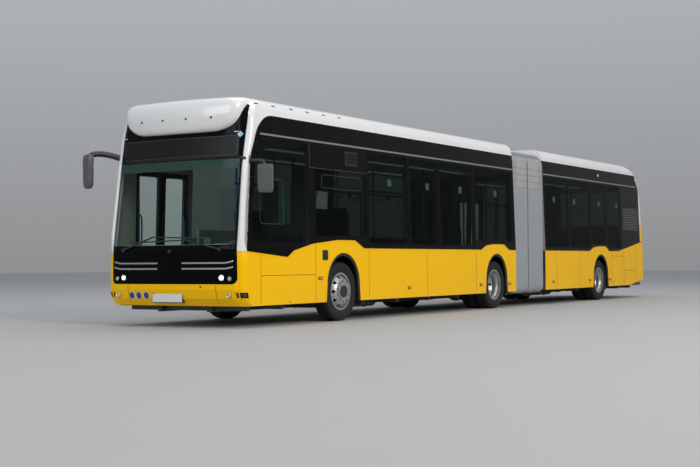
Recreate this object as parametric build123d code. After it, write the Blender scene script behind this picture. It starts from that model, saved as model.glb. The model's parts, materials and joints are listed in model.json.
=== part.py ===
from build123d import *
from math import cos, hypot, pi, sin
import os

# Articulated low-floor city bus, 18 m long, in two car bodies on three axles.
# Frame: +X is forward, +Y is the bus's left side, +Z is up, origin on the ground under the middle
# of the overall length. Sizes are in millimetres.
# Places along the bus are given as s, the distance back from a plane 45 behind the nose's tip.

# Overall sizes
BODY_LENGTH = 18125
MIRROR_REACH = 200
NOSE_FACE = -45
TAIL_FACE = NOSE_FACE + BODY_LENGTH
HALF_WIDTH = 1275
ROOF_TOP = 3400
WALL = 60
GLASS = 8
DISPLAY_THICK = 20

# Places along the bus
AXLES = {"front": 2805, "middle": 8705, "rear": 14695}
FRONT_CAR_END = 9670
REAR_CAR_START = 11250
PIVOT = (FRONT_CAR_END + REAR_CAR_START) / 2
ROOF_SEAM = 950
CORNER_SEAM = 300
TAIL_SEAM = 17890

# Heights
SKIRT_BOTTOM = 320
FLOOR_TOP = 370
FLOOR_THICK = 60
BELT = 1176
RAIL = 2856
ROOF_BOTTOM = 3150
DECK_TOP = 3212
CEILING = 2740
CEILING_THICK = 40
BULKHEAD = 50

# Wheels and tyres
TYRE_RADIUS = 478
TYRE_WIDTH = 275
RIM_RADIUS = 286
HUB_BORE = 141
WHEEL_OUTER_FACE = 1240
TWIN_SPACING = 316
KINGPIN_Y = 938
AXLE_Z = TYRE_RADIUS
ARCH_HALF = 500
ARCH_FLARE = 530
ARCH_CENTRE_Z = 600
HOUSING_HALF = 610
HOUSING_INNER = 590
HOUSING_TOP = 1125
HOUSING_PLATE = 20

# Doors on the right side
DOORS = {"door_1": (600, 1900), "door_2": (5100, 6400), "door_3": (11950, 13250)}
DOOR_SILL = FLOOR_TOP + 8
DOOR_HEAD = 2420
LEAF_INSET = 5
LEAF_THICK = 40
LEAF_GAP = 8
LEAF_MEET = 24
LEAF_BORDER = 75
LEAF_AXIS_Y = 1178
LEAF_AXIS_IN = 32

# Windscreen, display and black panel in the nose
NOSE_HALF = 1182
PANEL_BOTTOM = 640
SCREEN_BOTTOM = 1215
SCREEN_TOP = 2500
DISPLAY_TOP = 3288

X_ZERO = BODY_LENGTH / 2 - MIRROR_REACH / 2 + NOSE_FACE


def x_at(s):
    """The X coordinate of a place s along the bus."""
    return X_ZERO - s


def half_width(z):
    """Half the body's outer width at a height, from the table of sections."""
    rows = [(row[0], row[3]) for row in NOSE_SECTIONS]
    for (z0, w0), (z1, w1) in zip(rows, rows[1:]):
        if z0 <= z <= z1:
            return w0 + (w1 - w0) * (z - z0) / (z1 - z0)
    return rows[0][1] if z < rows[0][0] else rows[-1][1]


# Columns: height, how far the nose is set back at the centre, how far the tail is set forward,
# half width, corner radius in plan
NOSE_SECTIONS = [
    (SKIRT_BOTTOM, 110, 60, HALF_WIDTH, 190),
    (430, 30, 40, HALF_WIDTH, 200),
    (560, 0, 0, HALF_WIDTH, 200),
    (1150, 5, 20, HALF_WIDTH, 200),
    (SCREEN_TOP, 175, 130, 1231, 190),
    (2850, 222, 220, 1219, 190),
    (ROOF_BOTTOM, 270, 400, 1196, 200),
    (3230, 305, 520, 1184, 215),
    (3300, 355, 690, 1156, 230),
    (3350, 415, 880, 1114, 240),
    (3382, 490, 1100, 1060, 240),
    (ROOF_TOP, 620, 1330, 980, 240),
]
NOSE_BOW = 60
TAIL_BOW = 35


def block(s0, s1, y0, y1, z0, z1):
    """A box between two places along the bus, two Y values and two heights."""
    size = Box(abs(s1 - s0), abs(y1 - y0), abs(z1 - z0))
    return Pos(x_at((s0 + s1) / 2), (y0 + y1) / 2, (z0 + z1) / 2) * size


def rod(start, end, radius):
    """A round bar between two points (s, y, z)."""
    a = Vector(x_at(start[0]), start[1], start[2])
    b = Vector(x_at(end[0]), end[1], end[2])
    return Solid.make_cylinder(radius, (b - a).length, Plane(origin=a, z_dir=b - a))


def rounded_wire(points, place):
    """A closed wire through (a, b, radius) corners; place turns (a, b) into a point in space."""
    corners = []
    n = len(points)
    for i, (a, b, r) in enumerate(points):
        if not r:
            corners.append((place(a, b), None, place(a, b)))
            continue
        pa, pb = points[i - 1][:2]
        na, nb = points[(i + 1) % n][:2]
        u = Vector(pa - a, pb - b, 0).normalized()
        v = Vector(na - a, nb - b, 0).normalized()
        half = u.get_angle(v) * pi / 360
        back = r / (sin(half) / cos(half))
        middle = (u + v).normalized() * (r / sin(half) - r)
        first, last = u * back, v * back
        corners.append(
            (place(a + first.X, b + first.Y), place(a + middle.X, b + middle.Y), place(a + last.X, b + last.Y))
        )
    edges = []
    for i, (first, middle, last) in enumerate(corners):
        if middle is not None:
            edges.append(Edge.make_three_point_arc(first, middle, last))
        following = corners[(i + 1) % n][0]
        if (Vector(*following) - Vector(*last)).length > 1e-3:
            edges.append(Edge.make_line(last, following))
    return Wire(edges)


def with_radius(points, radius):
    return [(a, b, radius) for a, b in points]


def side_prism(points, y0, y1):
    """An outline in side view, as (s, z, radius) corners, run between two Y values."""
    wire = rounded_wire(points, lambda s, z: (x_at(s), y0, z))
    return Solid.extrude(Face(wire), Vector(0, y1 - y0, 0))


def cross_prism(points, s0, s1):
    """An outline across the bus, as (y, z, radius) corners, run between two places along it."""
    wire = rounded_wire(points, lambda y, z: (x_at(s0), y, z))
    return Solid.extrude(Face(wire), Vector(s0 - s1, 0, 0))


def mirrored(shape):
    return mirror(shape, about=Plane.XZ)


def both_sides(shape):
    return Compound(shape.solids() + mirrored(shape).solids())


def end_section(z, set_back, half, radius, bow, s_end, s_face, outward):
    """One plan outline of a car body: a bowed end face, two round corners and straight sides.
    s_face is the end face and s_end the far end; outward is -1 at the nose and 1 at the tail."""
    face = s_face - outward * set_back
    corner = face - outward * bow
    side = corner - outward * radius
    slant = radius * (1 - cos(pi / 4))

    def at(s, y):
        return (x_at(s), y, z)

    edges = [
        Edge.make_line(at(s_end, -half), at(side, -half)),
        Edge.make_three_point_arc(
            at(side, -half), at(corner - outward * slant, -half + slant), at(corner, -half + radius)
        ),
        Edge.make_three_point_arc(at(corner, -half + radius), at(face, 0), at(corner, half - radius)),
        Edge.make_three_point_arc(
            at(corner, half - radius), at(corner - outward * slant, half - slant), at(side, half)
        ),
        Edge.make_line(at(side, half), at(s_end, half)),
        Edge.make_line(at(s_end, half), at(s_end, -half)),
    ]
    return Wire(edges)


def car_form(inset, is_front, top=ROOF_TOP, bottom=SKIRT_BOTTOM):
    """The car body's whole form, inset by a wall's thickness, as one ruled loft of plan sections."""
    wires = []
    rows = [row for row in NOSE_SECTIONS if row[0] <= top]
    for i, (z, nose, tail, half, radius) in enumerate(rows):
        height = bottom if i == 0 else z
        if is_front:
            face, far, set_back, bow, outward = NOSE_FACE, FRONT_CAR_END, nose, NOSE_BOW, -1
        else:
            face, far, set_back, bow, outward = TAIL_FACE, REAR_CAR_START, tail, TAIL_BOW, 1
        beyond = far - outward * (200 if inset > GLASS else 0)
        wires.append(
            end_section(
                height, set_back + inset, half - inset, radius - inset * 0.7, bow, beyond, face, outward
            )
        )
    return Solid.make_loft(wires, ruled=True)


# Side outlines of the yellow lower wall's top edge: s, height, corner radius
FRONT_BELT = [
    (130, 1118, 60), (1195, 1032, 110), (1370, 1130, 120), (1900, 1240, 900), (2640, 1306, 900),
    (3180, 1306, 170), (3470, BELT, 170), (7990, BELT, 200), (8230, 1262, 130), (8560, 1291, 400),
    (9080, 1291, 130), (9330, BELT, 130),
]
REAR_BELT = [
    (13960, BELT, 200), (14220, 1262, 130), (14560, 1291, 400), (15060, 1291, 130),
    (15310, BELT, 150), (16000, BELT + 8, 1200), (17713, 1420, 0),
]
# The rear boundary of the white hoop beside the windscreen, and the front one of the tail's hoop
HOOP_EDGE = [
    (160, 1118, 0), (132, 1240, 150), (190, 1760, 1500), (300, 2480, 1200), (480, 2910, 600), (700, ROOF_BOTTOM, 0),
]
TAIL_EDGE = [(17440, ROOF_BOTTOM, 0), (17640, 2890, 300), (17790, 2400, 700), (17890, 1860, 0)]

# Window openings: car, s from, s to, sill height, whether the right side has one too (None for the right
# side alone), how far the front edge leans back at the top
WINDOWS = [
    ("front", 230, 1830, 1250, False, 250),
    ("front", 2010, 3600, 1370, True, 0),
    ("front", 3670, 5050, 1260, True, 0),
    ("front", 5130, 6220, 1260, False, 0),
    ("front", 6290, 7720, 1260, False, 0),
    ("front", 6470, 7720, 1260, None, 0),
    ("front", 7790, 9600, 1350, True, 0),
    ("rear", 11330, 12720, 1260, False, 0),
    ("rear", 12800, 14100, 1260, False, 0),
    ("rear", 13330, 14100, 1260, None, 0),
    ("rear", 14180, 15180, 1350, True, 0),
    ("rear", 15260, 16240, 1260, True, 0),
]
# Panel joints of the skirt along each side, and hatch edges on the left: s from, s to, height
GROOVE = 6
GROOVE_DEPTH = 5
SKIRT_SEAMS = {"front": (498, 1978, 3630, 5716, 7765), "rear": (11900, 13330, 15463, 16382, 17300)}
HATCHES = {"front": [(498, 1978, 760)], "rear": [(15463, 16382, 1057), (16382, 17300, 700)]}
WINDOW_TOP = 2790
WINDOW_CORNER = 60
GRILLE = (16420, 17560, 1725, 2290)
LOUVRES = 13
LOUVRE_DEPTH = 30


def belt_region(is_front):
    """The region below the belt line, run through both sides of the car."""
    belt = FRONT_BELT if is_front else REAR_BELT
    if is_front:
        start, end = [(-300, 100, 0), (-300, 1119, 0)], [(9900, BELT, 0), (9900, 100, 0)]
    else:
        start, end = [(11000, 100, 0), (11000, BELT, 0)], [(18400, 1510, 0), (18400, 100, 0)]
    return side_prism(start + belt + end, -1500, 1500)


def arch_cut(s, y0, y1):
    """A wheel opening in the lower wall: flared sides and a round top."""
    def at(a, z):
        return (x_at(s + a), y0, z)

    low = SKIRT_BOTTOM - 100
    top = (0, ARCH_CENTRE_Z + ARCH_HALF)
    edges = [
        Edge.make_line(at(-ARCH_FLARE - 8, low), at(-ARCH_HALF, ARCH_CENTRE_Z)),
        Edge.make_three_point_arc(at(-ARCH_HALF, ARCH_CENTRE_Z), at(*top), at(ARCH_HALF, ARCH_CENTRE_Z)),
        Edge.make_line(at(ARCH_HALF, ARCH_CENTRE_Z), at(ARCH_FLARE + 8, low)),
        Edge.make_line(at(ARCH_FLARE + 8, low), at(-ARCH_FLARE - 8, low)),
    ]
    return Solid.extrude(Face(Wire(edges)), Vector(0, y1 - y0, 0))


LIP_WIDTH = 34
LIP_PROUD = 8


def arch_lip(s):
    """The raised edge round a wheel opening on the left side."""
    def outline(grow, low):
        r = ARCH_HALF + grow
        flare = ARCH_FLARE + 8 + grow
        return r, flare, low

    def shape(grow, y0, y1, low):
        r, flare, low = outline(grow, low)

        def at(a, z):
            return (x_at(s + a), y0, z)

        edges = [
            Edge.make_line(at(-flare, low), at(-r, ARCH_CENTRE_Z)),
            Edge.make_three_point_arc(at(-r, ARCH_CENTRE_Z), at(0, ARCH_CENTRE_Z + r), at(r, ARCH_CENTRE_Z)),
            Edge.make_line(at(r, ARCH_CENTRE_Z), at(flare, low)),
            Edge.make_line(at(flare, low), at(-flare, low)),
        ]
        return Solid.extrude(Face(Wire(edges)), Vector(0, y1 - y0, 0))

    low = SKIRT_BOTTOM - 100
    ring = shape(LIP_WIDTH, HALF_WIDTH - 10, HALF_WIDTH + LIP_PROUD, low) - shape(0, 1000, 1500, low)
    return ring & block(s - 900, s + 900, 1000, 1500, SKIRT_BOTTOM, 1400)


def window_prisms(car):
    """The window openings of one car, each run through the wall that it is in."""
    found = []
    for place, s0, s1, sill, right, lean in WINDOWS:
        if place != car:
            continue
        outline = with_radius([(s0, sill), (s0 + lean, WINDOW_TOP), (s1, WINDOW_TOP), (s1, sill)], WINDOW_CORNER)
        if right is not None:
            found.append(side_prism(outline, 1000, 1400))
        if right is None or right:
            found.append(side_prism(outline, -1400, -1000))
    return found


def door_cuts(car):
    names = ("door_1", "door_2") if car == "front" else ("door_3",)
    return [block(*DOORS[n], -1400, -1000, DOOR_SILL, DOOR_HEAD) for n in names]


def wall_slab(inset, thick, s0, s1, z0, z1):
    """A slab that follows the right side wall's lean, between two heights."""
    heights = [z0] + [row[0] for row in NOSE_SECTIONS if z0 < row[0] < z1] + [z1]
    outer = [(-(half_width(z) - inset), z, 0) for z in heights]
    inner = [(-(half_width(z) - inset - thick), z, 0) for z in reversed(heights)]
    return cross_prism(outer + inner, s0, s1)


def keep(shape, tool):
    return shape & tool


def fuse(shapes):
    total = shapes[0]
    for shape in shapes[1:]:
        total = total + shape
    return total


def cut(shape, tools):
    for tool in tools:
        shape = shape - tool
    return shape


# Car bodies

def car_shell(is_front):
    """The hollow car body: walls as thick as the whole wall, roof cap solid above the ceiling."""
    outer = car_form(0, is_front)
    inner = car_form(WALL, is_front, top=ROOF_BOTTOM, bottom=SKIRT_BOTTOM - 60)
    return outer, inner


def lower_walls(is_front, outer, inner):
    """The lower walls: flat panels with the wheel arches, the door openings and the belt's humps."""
    car = "front" if is_front else "rear"
    region = belt_region(is_front)
    walls = keep(outer - inner, region)
    axles = ("front", "middle") if is_front else ("rear",)
    tools = [arch_cut(AXLES[a], -1500, 1500) for a in axles] + door_cuts(car)
    edge = HALF_WIDTH - GROOVE_DEPTH
    for side in (1, -1):
        y0, y1 = sorted((side * edge, side * 1400))
        tools += [block(s - GROOVE / 2, s + GROOVE / 2, y0, y1, 0, 1150) for s in SKIRT_SEAMS[car]]
    for s0, s1, z in HATCHES[car]:
        tools.append(block(s0, s1, edge, 1400, z - GROOVE / 2, z + GROOVE / 2))
    if is_front:
        tools.append(block(-400, CORNER_SEAM, -1500, 1500, 0, 1400))
    else:
        tools.append(tail_corner_cut())
        tools.append(block(TAIL_SEAM, 18500, -1500, 1500, 0, 2000))
    walls = cut(walls, tools)
    for name in axles:
        lip = arch_lip(AXLES[name])
        walls = walls + lip + mirrored(lip)
    return walls


def tail_corner_cut():
    """The bottom edge rises towards the tail."""
    return side_prism([(16900, 200, 0), (16900, 330, 0), (17900, 460, 0), (18500, 540, 0), (18500, 200, 0)], -1500, 1500)


def nose_prism(z0=PANEL_BOTTOM, z1=DISPLAY_TOP, s_end=560):
    """The opening in the nose for the black panel, the windscreen and the display, as seen from ahead."""
    right = [
        (-NOSE_HALF, PANEL_BOTTOM, 90), (-NOSE_HALF + 22, 1800, 0), (-NOSE_HALF + 26, SCREEN_TOP, 0),
        (-NOSE_HALF + 20, 2900, 0), (-NOSE_HALF + 23, 3125, 0), (-NOSE_HALF + 50, DISPLAY_TOP, 60),
    ]
    left = [(-y, z, r) for y, z, r in reversed(right)]
    prism = cross_prism(right + left, -400, s_end)
    if z0 == PANEL_BOTTOM and z1 == DISPLAY_TOP:
        return prism
    return prism & block(-400, s_end, -1500, 1500, z0, z1)


def hoop_region(is_front):
    """The white hoop beside the windscreen, or beside the rear face, in side view."""
    if is_front:
        edge = HOOP_EDGE
        rest = [(ROOF_SEAM, ROOF_BOTTOM, 0), (ROOF_SEAM, 3600, 0), (-300, 3600, 0), (-300, 1118, 0)]
    else:
        edge = TAIL_EDGE
        rest = [(18500, 1860, 0), (18500, 3600, 0), (17100, 3600, 0), (17100, ROOF_BOTTOM, 0)]
    return side_prism(edge + rest, -1500, 1500)


def window_walls(is_front, outer, inner):
    """The black window band, with its windows and doors cut and the rain rail along it."""
    car = "front" if is_front else "rear"
    walls = outer - inner
    below = belt_region(is_front)
    above = block(-500, 18700, -1500, 1500, ROOF_BOTTOM, 3600)
    tools = [below, above, hoop_region(is_front)]
    if is_front:
        tools.append(nose_prism())
    else:
        tools.append(block(17620, 18500, -1100, 1100, 0, 3600))
        tools.append(block(TAIL_SEAM, 18500, -1500, 1500, 0, 3600))
    walls = cut(walls, tools + window_prisms(car) + door_cuts(car))
    ends = (560, FRONT_CAR_END) if is_front else (REAR_CAR_START, 17500)
    w = half_width(RAIL)
    rail = [(w - 20, RAIL - 16, 0), (w + 12, RAIL - 16, 0), (w + 12, RAIL + 12, 0), (w - 20, RAIL + 16, 0)]
    strip = cross_prism(rail, *ends)
    walls = walls + strip + mirrored(strip)
    if not is_front:
        s0, s1, z0, z1 = GRILLE
        pitch = (z1 - z0) / LOUVRES
        for k in range(LOUVRES):
            z = z0 + (k + 0.5) * pitch
            for side in (1, -1):
                y0, y1 = sorted((side * (half_width(z) - LOUVRE_DEPTH), side * 1400))
                walls = walls - block(s0, s1, y0, y1, z - pitch * 0.28, z + pitch * 0.28)
    return walls


def roof(is_front, outer):
    """The roof cap with a raised fairing along each side and a recessed deck between them."""
    start, end = (ROOF_SEAM, FRONT_CAR_END) if is_front else (REAR_CAR_START, 17100)
    cap = outer & block(start, end, -1500, 1500, ROOF_BOTTOM, 3600)
    deck0, deck1 = (start + 120, end - 60) if is_front else (start + 60, 16150)
    cap = cap - block(deck0, deck1, -950, 950, DECK_TOP, 3600)
    for s in ROOF_SEAMS["front" if is_front else "rear"]:
        cap = cap - (block(s - 3, s + 3, -1500, 1500, ROOF_BOTTOM + 4, 3600) - car_form(6, is_front))
    panel = [
        (-1130, ROOF_BOTTOM, 0), (-1130, 2860, 0), (-900, CEILING, 0),
        (900, CEILING, 0), (1130, 2860, 0), (1130, ROOF_BOTTOM, 0),
    ]
    duct = [
        (-1090, ROOF_BOTTOM + 1, 0), (-1090, 2885, 0), (-880, CEILING + CEILING_THICK, 0),
        (880, CEILING + CEILING_THICK, 0), (1090, 2885, 0), (1090, ROOF_BOTTOM + 1, 0),
    ]
    first, last = (start, end - BULKHEAD) if is_front else (start + BULKHEAD, 17380)
    return cap + (cross_prism(panel, first, last) - cross_prism(duct, first - 10, last + 10))


ROOF_SEAMS = {"front": (3400, 4030, 6800), "rear": (13300, 15600)}

# Roof packs: car, s from, s to, half width, top height
PACKS = [
    ("front", 1150, 2650, 900, 3370),
    ("front", 2750, 4350, 900, 3376),
    ("front", 4450, 6050, 900, 3376),
    ("front", 6250, 7950, 860, 3392),
    ("front", 8150, 9500, 900, 3376),
    ("rear", 11400, 12000, 860, 3392),
    ("rear", 12150, 13750, 900, 3376),
    ("rear", 13850, 15450, 900, 3376),
]


def roof_packs(car):
    """Battery and air conditioning packs on the roof deck, each a chamfered cover with end ribs."""
    made = []
    for place, s0, s1, half, top in PACKS:
        if place != car:
            continue
        outline = [
            (-half, DECK_TOP, 0), (-half, top - 60, 0), (-half + 60, top, 0),
            (half - 60, top, 0), (half, top - 60, 0), (half, DECK_TOP, 0),
        ]
        pack = cross_prism(outline, s0, s1)
        for k in range(1, 4):
            s = s0 + (s1 - s0) * k / 4
            pack = pack - block(s - 8, s + 8, -half - 10, half + 10, top - 12, top + 10)
        made += pack.solids()
    return Compound(made)


def nose_hoop(outer, inner):
    """The white hoop: the two windscreen pillars and the roof's front end, in one moulding."""
    shell = outer - inner
    hoop = keep(shell, hoop_region(True))
    hoop = hoop - nose_prism()
    pocket = block(480, ROOF_SEAM + 10, -960, 960, 3000, 3330)
    return hoop - pocket


def bumper(outer, inner):
    """The yellow front bumper with its two corners, recessed for side lamps and tow eye."""
    piece = keep(outer - inner, block(-400, CORNER_SEAM, -1500, 1500, 0, 1118))
    piece = keep(piece, belt_region(True))
    piece = piece - nose_prism()
    tools = []
    for side in (1, -1):
        y0, y1 = sorted((side * 1135, side * 1400))
        tools.append(block(-100, 165, y0, y1, 440, 520))
        tools.append(rod((-100, side * 1045, 474), (26 + NOSE_BOW, side * 1045, 474), 36))
    tools.append(rod((-100, TOW_Y, TOW_Z), (400, TOW_Y, TOW_Z), TOW_RADIUS))
    return cut(piece, tools)


TOW_Y = 560
TOW_Z = 600
TOW_RADIUS = 21

LAMP_ROWS = [(925, 735, 46), (1062, 722, 34)]


def lamp_hole(side, y, z, radius, depth):
    return rod((-100, side * y, z), (depth, side * y, z), radius)


def nose_panel(outer, inner):
    """The black panel below the windscreen, with the head lamp holes, and the black display above it."""
    panel = keep(outer - inner, nose_prism(PANEL_BOTTOM, SCREEN_BOTTOM))
    skin = outer - car_form(DISPLAY_THICK, True, top=ROOF_BOTTOM, bottom=SKIRT_BOTTOM - 60)
    display = skin & nose_prism(SCREEN_TOP + 6, DISPLAY_TOP)
    tools = [lamp_hole(side, y, z, r, 200) for side in (1, -1) for y, z, r in LAMP_ROWS]
    return Compound(cut(panel, tools).solids() + display.solids())


def head_lamps(outer):
    """Round head lamps seated in the panel's holes, each lens following the panel's face."""
    core = car_form(WALL - 15, True, top=ROOF_BOTTOM, bottom=SKIRT_BOTTOM)
    ring = outer - core
    lamps = []
    for side in (1, -1):
        for y, z, r in LAMP_ROWS:
            lamps += (ring & lamp_hole(side, y, z, r, 200)).solids()
    return Compound(lamps)


def windscreen(outer):
    """The bowed windscreen, a thin pane flush with the nose."""
    inner = car_form(GLASS, True, top=ROOF_BOTTOM, bottom=SKIRT_BOTTOM - 60)
    return (outer - inner) & nose_prism(SCREEN_BOTTOM, SCREEN_TOP - 6)


def front_glass(outer):
    """The front car's side windows, thin panes flush with the outer face."""
    inner = car_form(GLASS, True, top=ROOF_BOTTOM, bottom=SKIRT_BOTTOM - 60)
    skin = outer - inner
    panes = []
    for prism in window_prisms("front"):
        panes += (skin & prism).solids()
    return Compound(panes)


def rear_glass(outer):
    inner = car_form(GLASS, False, top=ROOF_BOTTOM, bottom=SKIRT_BOTTOM - 60)
    skin = outer - inner
    panes = [p for p in (skin & tail_pane_prism()).solids() if p.center().X < x_at(17500)]
    for prism in window_prisms("rear"):
        panes += (skin & prism).solids()
    return Compound(panes)


# Dome over the display: height, set back at the centre, half width, corner radius
DOME_SECTIONS = [
    (2882, 214, 560, 120),
    (2894, 186, 680, 150),
    (2925, 158, 800, 180),
    (2965, 144, 905, 200),
    (3010, 136, 985, 215),
    (3070, 132, 1055, 230),
    (3130, 138, 1088, 235),
    (3190, 152, 1097, 240),
    (3250, 184, 1096, 240),
    (3305, 232, 1085, 250),
    (3352, 310, 1060, 260),
    (3384, 430, 1010, 270),
    (ROOF_TOP, 640, 930, 260),
]


def roof_dome(outer):
    """The bulged white dome over the display, a cap that sits on the nose's face."""
    wires = [end_section(z, back, half, r, 75, ROOF_SEAM - 4, NOSE_FACE, -1) for z, back, half, r in DOME_SECTIONS]
    cap = Solid.make_loft(wires, ruled=True) - outer
    return max(cap.solids(), key=lambda solid: solid.volume)


# The rear pane's outline from behind, and the top edge of the yellow rear door
TAIL_PANE = [(-1010, 1890, 60), (-1010, 2620, 0), (-930, 2900, 90), (930, 2900, 90), (1010, 2620, 0), (1010, 1890, 60)]
TAIL_DOOR_TOP = 1860


def tail_pane_prism():
    return cross_prism(TAIL_PANE, 17300, 18500)


def tail_zone():
    """The rear end in side view: the whole end face and the hoop beside and above it."""
    zone = block(17100, 18500, -1500, 1500, ROOF_BOTTOM, 3600)
    face = block(17620, 18500, -1100, 1100, 1515, ROOF_BOTTOM) + block(TAIL_SEAM, 18500, -1500, 1500, 0, TAIL_DOOR_TOP)
    face = face - block(17620, TAIL_SEAM, -1500, 1500, 0, 1515)
    return fuse([zone, face, hoop_region(False)])


def tail_hoop(outer, inner):
    """The white rear hoop above the rear door, with the opening for the rear pane."""
    whole = keep(outer - inner, tail_zone()) & block(17000, 18500, -1500, 1500, TAIL_DOOR_TOP + 3, 3600)
    return whole - tail_pane_prism()


def tail_door(outer, inner):
    """The yellow rear door with its lamp holes, its air slots and the number plate's recess."""
    door = keep(outer - inner, tail_zone()) & block(17000, 18500, -1500, 1500, 0, TAIL_DOOR_TOP - 3)
    tools = [tail_corner_cut(), tail_recess()] + tail_lamp_holes()
    depth = TAIL_FACE - LOUVRE_DEPTH - 20
    for k in range(TAIL_SLOTS):
        z = 1240 + k * 46
        tools.append(block(depth, 18400, -620, 620, z, z + 24))
    return cut(door, tools)


TAIL_SLOTS = 9


# Tail lamps: half width place, height, radius
TAIL_LAMPS = [(1085, 1560, 60), (1085, 1400, 60), (1085, 1240, 60), (1085, 1080, 60)]


def tail_lamp_holes():
    return [
        rod((17800, side * y, z), (18400, side * y, z), r) for side in (1, -1) for y, z, r in TAIL_LAMPS
    ]


def tail_recess():
    """The rear number plate's recess."""
    return block(TAIL_FACE - 40, 18400, -270, 270, 700, 830)


def tail_lamps(outer):
    core = car_form(WALL - 15, False, top=ROOF_BOTTOM, bottom=SKIRT_BOTTOM)
    ring = outer - core
    lamps = []
    for hole in tail_lamp_holes():
        found = [p for p in (ring & hole).solids() if p.center().X < x_at(17850)]
        lamps += found
    return Compound(lamps)


# Underframes

def wheel_housing(s, y_in):
    """A five-sided box over one side's wheels, open below and towards the wall."""
    y_out = HALF_WIDTH - WALL
    outside = block(s - HOUSING_HALF, s + HOUSING_HALF, y_in, y_out, FLOOR_TOP - FLOOR_THICK, HOUSING_TOP)
    inside = block(
        s - HOUSING_HALF + HOUSING_PLATE, s + HOUSING_HALF - HOUSING_PLATE,
        y_in + HOUSING_PLATE, y_out + 10, 0, HOUSING_TOP - HOUSING_PLATE,
    )
    return outside, inside


RAIL_Y = 430
RAIL_W = 80


def underframe(is_front, inner):
    """The low floor with its wheel housings, two rails and cross members below it."""
    start, end = (140, FRONT_CAR_END) if is_front else (REAR_CAR_START, 17850)
    low = FLOOR_TOP - FLOOR_THICK
    slab = inner & block(start, end, -1500, 1500, low, FLOOR_TOP)
    axles = ("front", "middle") if is_front else ("rear",)
    frame = slab
    for name in axles:
        for side in (1, -1):
            outside, inside = wheel_housing(AXLES[name], HOUSING_INNER)
            if side < 0:
                outside, inside = mirrored(outside), mirrored(inside)
            frame = (frame + outside) - inside
    for side in (1, -1):
        y0, y1 = sorted((side * RAIL_Y, side * (RAIL_Y + RAIL_W)))
        for s0, s1 in ((300, 2450), (3200, 8300), (9100, FRONT_CAR_END)) if is_front else (
            (REAR_CAR_START, 14250), (15150, 17600),
        ):
            frame = frame + block(s0, s1, y0, y1, low - 90, low)
    crosses = (420, 1300, 3700, 4900, 6100, 7300, 9560) if is_front else (11360, 12500, 13600, 15500, 16400, 17300)
    for s in crosses:
        frame = frame + block(s - 35, s + 35, -1100, 1100, low - 70, low)
    near, far = (FRONT_CAR_END - BULKHEAD, FRONT_CAR_END) if is_front else (REAR_CAR_START, REAR_CAR_START + BULKHEAD)
    portal = inner & block(near, far, -1500, 1500, low, ROOF_BOTTOM)
    frame = frame + (portal - block(near - 10, far + 10, -1080, 1080, FLOOR_TOP, 2900))
    edge = FRONT_CAR_END if is_front else REAR_CAR_START
    frame = frame + (block(edge, PIVOT, -APRON_HALF, APRON_HALF, low, FLOOR_TOP)
                     - disc(DISC_RADIUS + 10, low - 10, FLOOR_TOP + 10))
    if not is_front:
        tower = inner & block(16500, 17700, -1500, 1500, FLOOR_TOP, 1500)
        well = block(16420, 17640, -1080, 1080, FLOOR_TOP, 1440)
        frame = frame + (tower - well)
    return frame


# Joint between the cars

PIN_RADIUS = 60
PLATE_GAP = 0.3
DISC_RADIUS = 620
APRON_HALF = 540
BASE_Z = (196, 250)
RING_Z = (BASE_Z[1] + PLATE_GAP, 308)
DISC_Z = (RING_Z[1] + PLATE_GAP, FLOOR_TOP)
HOOP_HALF = 1155
BAR_LOW = 335
HOOP_TUBE = 46
HOOP_TOP = 3180
HOOP_LOW = 250


def disc(radius, z0, z1, s=None):
    place = x_at(PIVOT if s is None else s)
    return Solid.make_cylinder(radius, z1 - z0, Plane(origin=(place, 0, z0)))


def turntable_base():
    """The fixed lower plate with its drawbar arm and centre pin, on the front car."""
    z0, z1 = BASE_Z
    plate = disc(430, z0, z1) + block(FRONT_CAR_END, PIVOT, -420, 420, z0, z1)
    mount = block(FRONT_CAR_END - 70, FRONT_CAR_END, -420, 420, z0, FLOOR_TOP - FLOOR_THICK)
    return plate + mount + disc(PIN_RADIUS, z0, DISC_Z[1] - 4)


def turntable_ring():
    """The turning ring with its drawbar arm, on the rear car."""
    z0, z1 = RING_Z
    plate = disc(430, z0, z1) + block(PIVOT, REAR_CAR_START, -420, 420, z0, z1)
    mount = block(REAR_CAR_START, REAR_CAR_START + 70, -420, 420, z0, FLOOR_TOP - FLOOR_THICK)
    return (plate + mount) - disc(PIN_RADIUS + 0.05, z0 - 10, z1 + 10)


def joint_frame():
    """The middle hoop that carries the bellows, with the round platform it turns on."""
    z0, z1 = DISC_Z
    ring = cross_prism(
        [(-HOOP_HALF, HOOP_LOW, 60), (-HOOP_HALF, HOOP_TOP, 160), (HOOP_HALF, HOOP_TOP, 160), (HOOP_HALF, HOOP_LOW, 60)],
        PIVOT - HOOP_TUBE / 2, PIVOT + HOOP_TUBE / 2,
    )
    hole = cross_prism(
        [
            (-HOOP_HALF + HOOP_TUBE, HOOP_LOW - 20, 0), (-HOOP_HALF + HOOP_TUBE, HOOP_TOP - HOOP_TUBE, 115),
            (HOOP_HALF - HOOP_TUBE, HOOP_TOP - HOOP_TUBE, 115), (HOOP_HALF - HOOP_TUBE, HOOP_LOW - 20, 0),
        ],
        PIVOT - HOOP_TUBE, PIVOT + HOOP_TUBE,
    )
    bar = block(PIVOT - HOOP_TUBE / 2, PIVOT + HOOP_TUBE / 2, -HOOP_HALF + 10, HOOP_HALF - 10, BAR_LOW, z1)
    platform = disc(DISC_RADIUS, z0, z1) + bar
    return (ring - hole) + (platform - disc(PIN_RADIUS + 0.05, z0 - 10, z1 + 10))


BELLOWS_SKIN = 30
LIP_HALF = 650
PLEATS = 11
PLEAT_DEPTH = 32


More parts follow.
